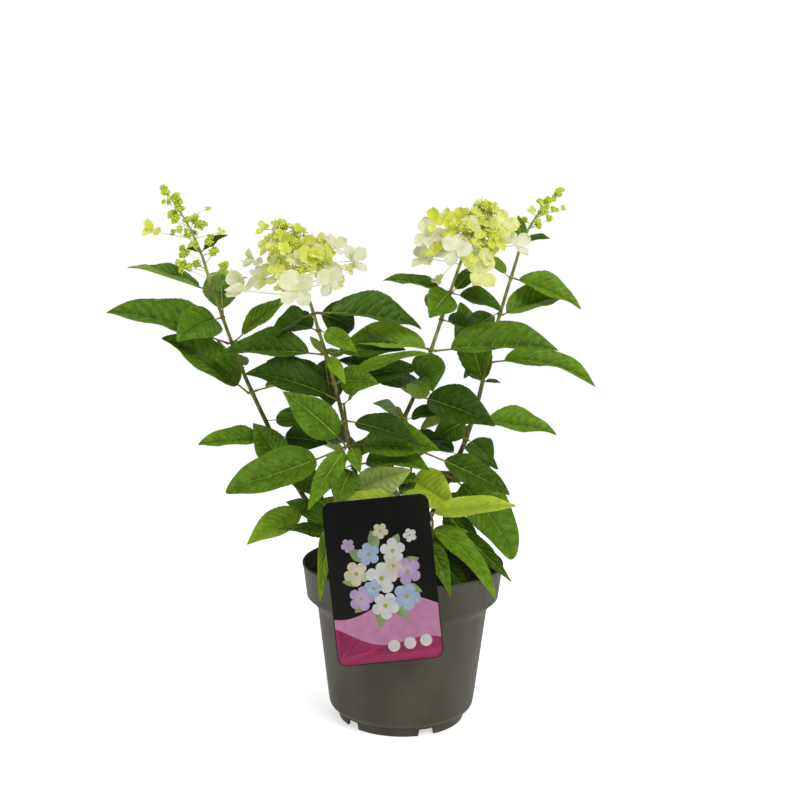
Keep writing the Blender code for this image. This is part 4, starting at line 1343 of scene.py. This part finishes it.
def add_side_twigs(head, axis, state):
    """Set the side twigs of a head along axis(t), with their knots and, once open, young florets."""
    for count in range(head["twigs"]):
        share = count / (head["twigs"] - 1)
        root = axis(head["lowest"] + (TOP_TWIG - head["lowest"]) * share)
        angle = GOLDEN_ANGLE * count
        reach = head["reach"] * (1 - share) ** 0.6 * (0.75 + 0.25 * math.sin(3 * count))
        sideways = Vector((math.cos(angle), math.sin(angle), 0.0)) * max(reach, 1.0)
        end = root + sideways + UP * (TWIG_RISE * reach + 1.0)
        if state == "young" and sideways.y < 0:
            continue
        knot = head["knot"] * (1 - KNOT_TAPER * share)
        add_rod("twigs", root, end, 0.6)
        outward = ((end - root).normalized() * 0.6 + UP * 0.4).normalized()
        add_knot(end, outward, knot, BUDS_ON_KNOT[state], state)
        if state == "young":
            continue
        for side in (-1, 1):
            turn = angle + side * FLORETS_APART
            away = Vector((math.cos(turn), math.sin(turn), 0.3))
            centre = end + away * (knot + 1.5) - UP * (2.0 + side)
            add_rod("pale", root.lerp(end, 0.5), centre, 0.4)
            add_floret(centre, lean_about(away + UP * 0.3, 0.5),
                       YOUNG_FLORET * rng.uniform(0.75, 1.1) * (1 - 0.3 * share),
                       "pale" if rng.random() < PALE_SHARE else "lime", angle)

# %% Clusters and florets, from their lists
LUMPS = 4


def add_cluster(place, width, root, state):
    """A loose cluster of small knots of buds, on a stalk from its root on the axis."""
    outward = (place - root).normalized()
    add_rod("pale", root, place - outward * width * 0.3, 0.45)
    for lump in range(LUMPS):
        aside = Vector((rng.uniform(-1, 1), rng.uniform(-1, 1), rng.uniform(-0.7, 0.9)))
        add_knot(place + aside * (width * 0.36), lean_about(outward, 0.5), width * 0.22,
                 int(width * 0.9) + 3, state)


def add_listed_floret(place, size, tint, root, facing_front, spin):
    """A floret on its stalk, which looks up, out from the axis, and to the front or the back."""
    sideways = Vector((place.x - root.x, place.y - root.y, 0.0)).normalized()
    outward = sideways * 0.5 + UP * 0.5 + FRONT * (0.9 if facing_front else -0.7)
    add_rod("pale", root, place, 0.5)
    add_floret(place, lean_about(outward, 0.3), size, tint, spin)

# %% [markdown]
# Each head leaves the tip of its cane along an arc. The random draws come head by head, in one
# fixed order, so the plant is the same on every run.

# %% Set out each head
OPEN_FROM = 5.0
APEX_BUDS = 24
BACK_FROM = 8.0
axes = bmesh.new()
head_nodes = ["flower_head_" + name for name in HEADS]
for name, head in HEADS.items():
    guides = CANES[name]["guides"]
    heading = cane_heading(guides, guides[-1][2])
    tip = Vector(guides[-1])
    apex = tip + Vector(head["apex"])
    middle = tip + heading * (apex - tip).length * 0.5 + Vector(head["sway"])
    rise = (apex - tip).z
    state = "open" if head["knot"] > OPEN_FROM else "young"

    def axis(t):
        return bend(tip, middle, apex, t)

    add_limb(axes, axis, taper(1.5, 0.6), 8, 16)
    add_side_twigs(head, axis, state)
    add_knot(apex, UP, head["knot"] * 0.6, APEX_BUDS, state)
    for x, y, z, width in head["clusters"]:
        root = axis(min(max((z - 12.0) / rise, 0.02), 0.97))
        add_cluster(tip + Vector((x, y, z)), width, root, state)
    for count, (x, y, z, size, tint) in enumerate(head["florets"]):
        root = axis(min(max((z - 8.0) / rise, 0.08), 0.8) + 0.012 * count)
        add_listed_floret(tip + Vector((x, y, z)), size, tint, root, y < BACK_FROM, 0.4 * count)
    for share, spec in head["bracts"]:
        grow_leaf(axis(share), spec, "flower_head_" + name)
print("buds:", sum(map(len, bud_places.values())), "sepals:", sum(map(len, sepal_places.values())))

# %% [markdown]
# The bud is one small bead, the pedicel a three-sided rod, and the sepal a round, cupped petal
# with a narrow claw. Each is shaped once at unit size and then copied to all its places, so each
# has only a few dozen faces.

# %% Shapes of bud and pedicel
def bead_shape():
    """A bud of unit radius."""
    shape = bmesh.new()
    bmesh.ops.create_uvsphere(shape, u_segments=6, v_segments=4, radius=1.0)
    bmesh.ops.triangulate(shape, faces=shape.faces)
    return shape


def rod_shape():
    """A stalk one unit long, a little thinner at its tip."""
    shape = bmesh.new()
    bmesh.ops.create_cone(shape, cap_ends=True, segments=3, radius1=1.0, radius2=0.8, depth=1.0)
    bmesh.ops.triangulate(shape, faces=shape.faces)
    return shape


# %% Shape of a sepal
SEPAL_THICKNESS = 0.025


def sepal_shape():
    """A sepal one unit long, growing along +X from the floret's middle, cupped towards +Z."""
    shape = bmesh.new()
    bmesh.ops.create_grid(shape, x_segments=7, y_segments=4, size=0.5)
    for knot in shape.verts:
        t = knot.co.x + 0.5
        side = knot.co.y * 2
        half = 0.04 + 0.46 * max(math.sin(math.pi * min(t, 1.0) ** 1.45), 0.0) ** 0.62
        point = 0.09 * max(1 - 2.2 * abs(side), 0.0) ** 2 * t ** 3
        x = t - 0.16 * (side * half) ** 2 + point + 0.03 * math.cos(7.0 * side) * t
        ripple = 0.03 * math.sin(6.0 * t + 3.0 * side) * t
        knot.co = (x, side * half, 0.22 * t * t - 0.12 * t + 0.45 * (side * half) ** 2 + ripple)
    bmesh.ops.remove_doubles(shape, verts=shape.verts, dist=1e-4)
    bmesh.ops.solidify(shape, geom=list(shape.faces), thickness=SEPAL_THICKNESS)
    bmesh.ops.recalc_face_normals(shape, faces=shape.faces)
    bmesh.ops.triangulate(shape, faces=shape.faces)
    return shape

# %% [markdown]
# Buds and petals are soft, bright and without gloss. Light goes some way into a petal before it
# comes out again, which a little subsurface scattering gives, so the petals glow and don't look
# like card.

# %% Finishes of the flower heads
bud_green = drifting("bud_green", [(168, 190, 44), (190, 206, 64), (208, 220, 98)],
                     spot=6.0, grain=0.6, relief=0.06)
bud_lime = drifting("bud_lime", [(198, 213, 60), (217, 227, 88), (232, 237, 134)],
                    spot=5.0, grain=0.6, relief=0.06)
pedicel_pale = drifting("pedicel_pale", [(190, 206, 110), (210, 220, 140)], spot=8.0,
                        grain=0.6, relief=0.03, specular=0.3)
twig_lime = drifting("twig_lime", [(186, 202, 66), (204, 216, 90)], spot=8.0, grain=0.6,
                     relief=0.03, specular=0.3)
axis_green = drifting("axis_green", [(120, 128, 56), (142, 151, 74), (164, 172, 98)],
                      spot=10.0, grain=0.7, relief=0.05)
SEPALS = {
    "cream": [(202, 205, 158), (214, 216, 178), (225, 224, 198)],
    "pale": [(206, 212, 112), (219, 223, 140), (228, 229, 172)],
    "lime": [(200, 209, 66), (214, 220, 88), (224, 229, 122)],
}


def petal_finish(tint):
    """A petal's finish, which lets some light through."""
    petal = drifting("sepal_" + tint, SEPALS[tint], spot=9.0, grain=0.8, relief=0.05,
                     rough=(0.65, 0.55), specular=0.2)
    shader = petal.node_tree.nodes["Principled BSDF"]
    shader.inputs["Subsurface Weight"].default_value = 0.5
    shader.inputs["Subsurface Radius"].default_value = (1.0, 1.0, 0.6)
    shader.inputs["Subsurface Scale"].default_value = 2.0 * MM
    return petal

# %% Show the flower heads
open_heads = ["flower_head_front", "flower_head_middle"]
young_heads = ["flower_head_left", "flower_head_right"]


def show_copies(name, shape, places, finish, heads, sharp=40.0):
    """Show copies of a small shape as one piece of the flower heads."""
    scene_piece(name, copies(shape, places, name), [finish], heads, sharp)


show_copies("buds_young", bead_shape(), bud_places["young"], bud_green, young_heads, 180)
show_copies("buds_open", bead_shape(), bud_places["open"], bud_lime, open_heads, 180)
show_copies("head_twigs", rod_shape(), rod_places["twigs"], twig_lime, head_nodes)
scene_piece("head_axes", mesh_of(axes, "head_axes"), [axis_green], head_nodes,
            sharp=180)
show_copies("pedicels", rod_shape(), rod_places["pale"], pedicel_pale, head_nodes)
for tint in SEPALS:
    show_copies("sepals_" + tint, sepal_shape(), sepal_places[tint], petal_finish(tint),
                head_nodes if tint == "lime" else open_heads)
show_copies("floret_eyes", bead_shape(), eye_places, bud_lime, head_nodes, 180)

# %% [markdown]
# The leaves are shown last, because the bracts of the flower heads have joined them. Each pile is
# a piece of closed shapes, which are handed over as they are: merging points would weld leaves
# that only touch.

# %% Show the leaves, veins and stalks
for tint in TINTS:
    scene_piece("leaves_" + tint, joined(piles[tint], tint), leaf_finishes(tint),
                nodes_in[tint])
scene_piece("leaf_stalks", joined(piles["stalks"], "stalks"), [stalk_green],
            nodes_in["stalks"], sharp=180)

# %% [markdown]
# ## The label
#
# A printed card hangs on the rim from a hook moulded to its back. The card is a cube whose four
# long corners are bevelled round, and the hook is a bent line, extruded sideways into a strip.

# %% The card
LABEL_SIZE = Vector((92.0, 143.0, 0.8))
LABEL_CORNER = 8.0
LABEL_EDGE = 0.15
LABEL_PLACE = Vector((-17.4, -97.2, 157.0))
LABEL_TURN = math.radians(6.5)
LABEL_LEAN = math.radians(4.0)
label_turn = Matrix.Rotation(-LABEL_TURN, 4, "Y") @ Matrix.Rotation(math.pi / 2 - LABEL_LEAN, 4, "X")
label_frame = Matrix.Translation(LABEL_PLACE * MM) @ label_turn

card = bmesh.new()
bmesh.ops.create_cube(card, size=1.0)
bmesh.ops.scale(card, verts=card.verts, vec=LABEL_SIZE * MM)
corners = [edge for edge in card.edges if abs(edge.verts[0].co.z - edge.verts[1].co.z) > 0.1 * MM]
bmesh.ops.bevel(card, geom=corners, offset=LABEL_CORNER * MM, segments=8, profile=0.5,
                affect="EDGES", material=-1)
rims = [edge for edge in card.edges if edge.calc_face_angle(0.0) > 1.2]
bmesh.ops.bevel(card, geom=rims, offset=LABEL_EDGE * MM, segments=2, profile=0.5, affect="EDGES",
                material=-1)
bmesh.ops.transform(card, matrix=label_frame, verts=card.verts)

# %% The hook on its back
HOOK_HALF_WIDTH = 8.0
HOOK_PATH = [(1.0, 168.0), (2.4, 172.0), (5.6, 172.0), (7.6, 167.0), (9.8, 139.5)]
hook = bmesh.new()
bends = [hook.verts.new(Vector((LABEL_PLACE.x - HOOK_HALF_WIDTH, LABEL_PLACE.y + behind, height))
                        * MM) for behind, height in HOOK_PATH]
lines = [hook.edges.new(pair) for pair in zip(bends, bends[1:])]
swept_strip = bmesh.ops.extrude_edge_only(hook, edges=lines)["geom"]
far_side = [part for part in swept_strip if isinstance(part, bmesh.types.BMVert)]
bmesh.ops.translate(hook, verts=far_side, vec=(2 * HOOK_HALF_WIDTH * MM, 0, 0))
bmesh.ops.solidify(hook, geom=list(hook.faces), thickness=LABEL_SIZE.z * MM)
bmesh.ops.recalc_face_normals(hook, faces=hook.faces)
card.from_mesh(joined(hook, "hook"))
card_black = drifting("card_black", [(9, 9, 8), (13, 13, 11)], spot=30.0, grain=0.5,
                      relief=0.01, rough=(0.42, 0.36), specular=0.1)
scene_piece("label_card", mesh_of(card, "label_card"), [card_black], ["plant_label"],
            sharp=30.0)

# %% [markdown]
# The picture is a simple bouquet of our own: five-petalled flowers and plain leaves over black,
# above a band of two pinks. It lies on the card in films, each a few hundredths of a millimetre
# above the last, so no two of them share a plane. All its shapes are flat outlines worked out
# from a formula. A flower is a circle whose radius swells five times.

# %% Lay a flat shape on the card
FILM = 0.04
PRINT_EDGE = 0.8
prints = bmesh.new()
PRINT_TINTS = {
    "mauve": (212, 148, 184), "crimson": (172, 58, 104), "leaf": (150, 172, 120),
    "white": (226, 226, 222), "cream": (222, 214, 186), "blue": (178, 196, 220),
    "lilac": (196, 172, 206), "eye": (176, 180, 84),
}


def print_shape(tint, outline, layer):
    """Lay a flat shape on the card: its outline is in millimetres from the card's middle."""
    height = LABEL_SIZE.z / 2 + FILM * (layer + 1)
    knots = [prints.verts.new(label_frame @ (Vector((x, y, height)) * MM)) for x, y in outline]
    prints.faces.new(knots).material_index = list(PRINT_TINTS).index(tint)

# %% Outlines for the print
def wave_band(top):
    """The card's lower part up to a line top(x), with the card's round corners."""
    half_width, low = LABEL_SIZE.x / 2 - PRINT_EDGE, PRINT_EDGE - LABEL_SIZE.y / 2
    corner = LABEL_CORNER - PRINT_EDGE
    edge = (arc((corner - half_width, low + corner), corner, 180, 270, 8)
            + arc((half_width - corner, low + corner), corner, 270, 360, 8))
    line = [(half_width - 2 * half_width * step / 30) for step in range(31)]
    return edge + [(x, top(x)) for x in line]


def disc(x, y, radius):
    """A round spot."""
    return [(x + radius * math.cos(math.tau * step / 32), y + radius * math.sin(math.tau * step / 32))
            for step in range(32)]


def flower(x, y, radius, spin, petals=5):
    """A round flower: its edge swells once for each petal."""
    edge = []
    for step in range(60):
        angle = math.tau * step / 60
        reach = radius * (0.62 + 0.38 * abs(math.cos(petals * angle / 2)) ** 0.55)
        edge.append((x + reach * math.cos(angle + spin), y + reach * math.sin(angle + spin)))
    return edge


def printed_leaf(x, y, length, turn):
    """A pointed leaf that starts at a point and runs off in a direction."""
    edge = []
    for side in (1, -1):
        for step in range(12):
            t = step / 12 if side > 0 else 1 - step / 12
            along, across = t * length, side * 0.26 * length * math.sin(math.pi * t)
            edge.append((x + along * math.cos(turn) - across * math.sin(turn),
                         y + along * math.sin(turn) + across * math.cos(turn)))
    return edge

# %% Lay out the print
print_shape("mauve", wave_band(lambda x: -23 + 8 * math.sin(x / 17 + 0.6)), 0)
print_shape("crimson", wave_band(lambda x: -51 - 0.18 * x + 6 * math.sin(x / 15 - 1.0)), 1)
for count in range(3):
    print_shape("white", disc(4 + 14 * count, -57.5 + 1.2 * count, 5.2), 2)
for count in range(9):
    turn = math.radians(20 + 40 * count)
    print_shape("leaf", printed_leaf(16 * math.cos(turn), 2 + 24 * math.sin(turn), 19, turn), 2)
BOUQUET = [(-20, -14, 11, "lilac"), (19, -16, 12, "blue"), (0, -22, 12, "white"),
           (-22, 8, 11, "cream"), (22, 6, 12, "lilac"), (-10, 24, 10, "blue"), (11, 25, 11, "white"),
           (-1, 2, 14, "white"), (-9, -6, 8, "blue"), (10, 12, 8, "cream"), (2, 43, 7, "cream"),
           (-27, 33, 6, "lilac"), (27, 37, 6, "white")]
for count, (x, y, radius, tint) in enumerate(BOUQUET):
    print_shape(tint, flower(x, y, radius, 1.1 * count), 3 + count)
    print_shape("eye", disc(x, y, radius * 0.16), 4 + count)
bmesh.ops.solidify(prints, geom=list(prints.faces), thickness=FILM * 0.9 * MM)
print_finishes = []
for tint, seen in PRINT_TINTS.items():
    close = [tuple(part * share for part in seen) for share in (0.96, 1.02)]
    print_finishes.append(drifting("print_" + tint, close, spot=7.0, grain=0.5, relief=0.005,
                                   rough=(0.4, 0.34), specular=0.2))
scene_piece("label_print", joined(prints, "label_print"), print_finishes,
            ["plant_label"], sharp=30.0)

# %% [markdown]
# ## The studio
#
# The plant stands on a pale table that glows a little, as a light table does, so only a soft
# contact shadow is left. A large softbox stands high in front, a weaker one fills from the left,
# and the room gives a dim even light and shows as plain white.

# %% Floor
TABLE_GLOW = 0.55
FLOOR_HALF = 1.3
FLOOR_DROP = 0.0002
WHITE = (1.0, 1.0, 1.0, 1.0)
floor_finish, floor_shader = blank_finish("studio_floor", 0.9, 0.1)
grain = noise_node(floor_finish, 300.0)
floor_finish.node_tree.links.new(
    ramp_node(floor_finish, grain, [(244, 244, 244), (248, 248, 248)]),
    floor_shader.inputs["Base Color"])
floor_shader.inputs["Emission Color"].default_value = WHITE
floor_shader.inputs["Emission Strength"].default_value = TABLE_GLOW
shape = bmesh.new()
bmesh.ops.create_grid(shape, x_segments=1, y_segments=1, size=FLOOR_HALF)
floor = put_in_scene("floor", mesh_of(shape, "floor"))
floor.data.materials.append(floor_finish)
floor.location.z = -FLOOR_DROP

# %% Softboxes
AIM = Vector((0.0, 0.0, 0.28))


def soft_light(name, place, size, power):
    """A square softbox that looks at the middle of the plant."""
    lamp = bpy.data.lights.new(name, "AREA")
    lamp.size = size
    lamp.energy = power
    holder = put_in_scene(name, lamp)
    holder.location = place
    holder.rotation_euler = (AIM - holder.location).to_track_quat("-Z", "Y").to_euler()


soft_light("key_softbox", (0.8, -1.6, 1.6), 1.0, 30.0)
soft_light("fill_softbox", (-1.6, -1.0, 0.9), 1.2, 6.0)
soft_light("top_softbox", (-0.2, 0.5, 2.0), 1.4, 12.0)
print("lights:", [light.name for light in bpy.data.lights])

# %% [markdown]
# The room lights the plant with one strength and shows itself to the camera with another, so the
# ground behind the plant is white while the light stays soft.

# %% Room
ROOM_LIGHT = 0.33
room = bpy.data.worlds.new("studio")
bpy.context.scene.world = room
room.use_nodes = True
nodes = room.node_tree.nodes
lighting = nodes["Background"]
lighting.inputs["Color"].default_value = WHITE
lighting.inputs["Strength"].default_value = ROOM_LIGHT
wall = nodes.new("ShaderNodeBackground")
wall.inputs["Color"].default_value = WHITE
rays = nodes.new("ShaderNodeLightPath")
either = nodes.new("ShaderNodeMixShader")
room.node_tree.links.new(rays.outputs["Is Camera Ray"], either.inputs["Fac"])
room.node_tree.links.new(lighting.outputs["Background"], either.inputs[1])
room.node_tree.links.new(wall.outputs["Background"], either.inputs[2])
room.node_tree.links.new(either.outputs["Shader"], nodes["World Output"].inputs["Surface"])
bpy.context.scene.view_settings.view_transform = "Standard"
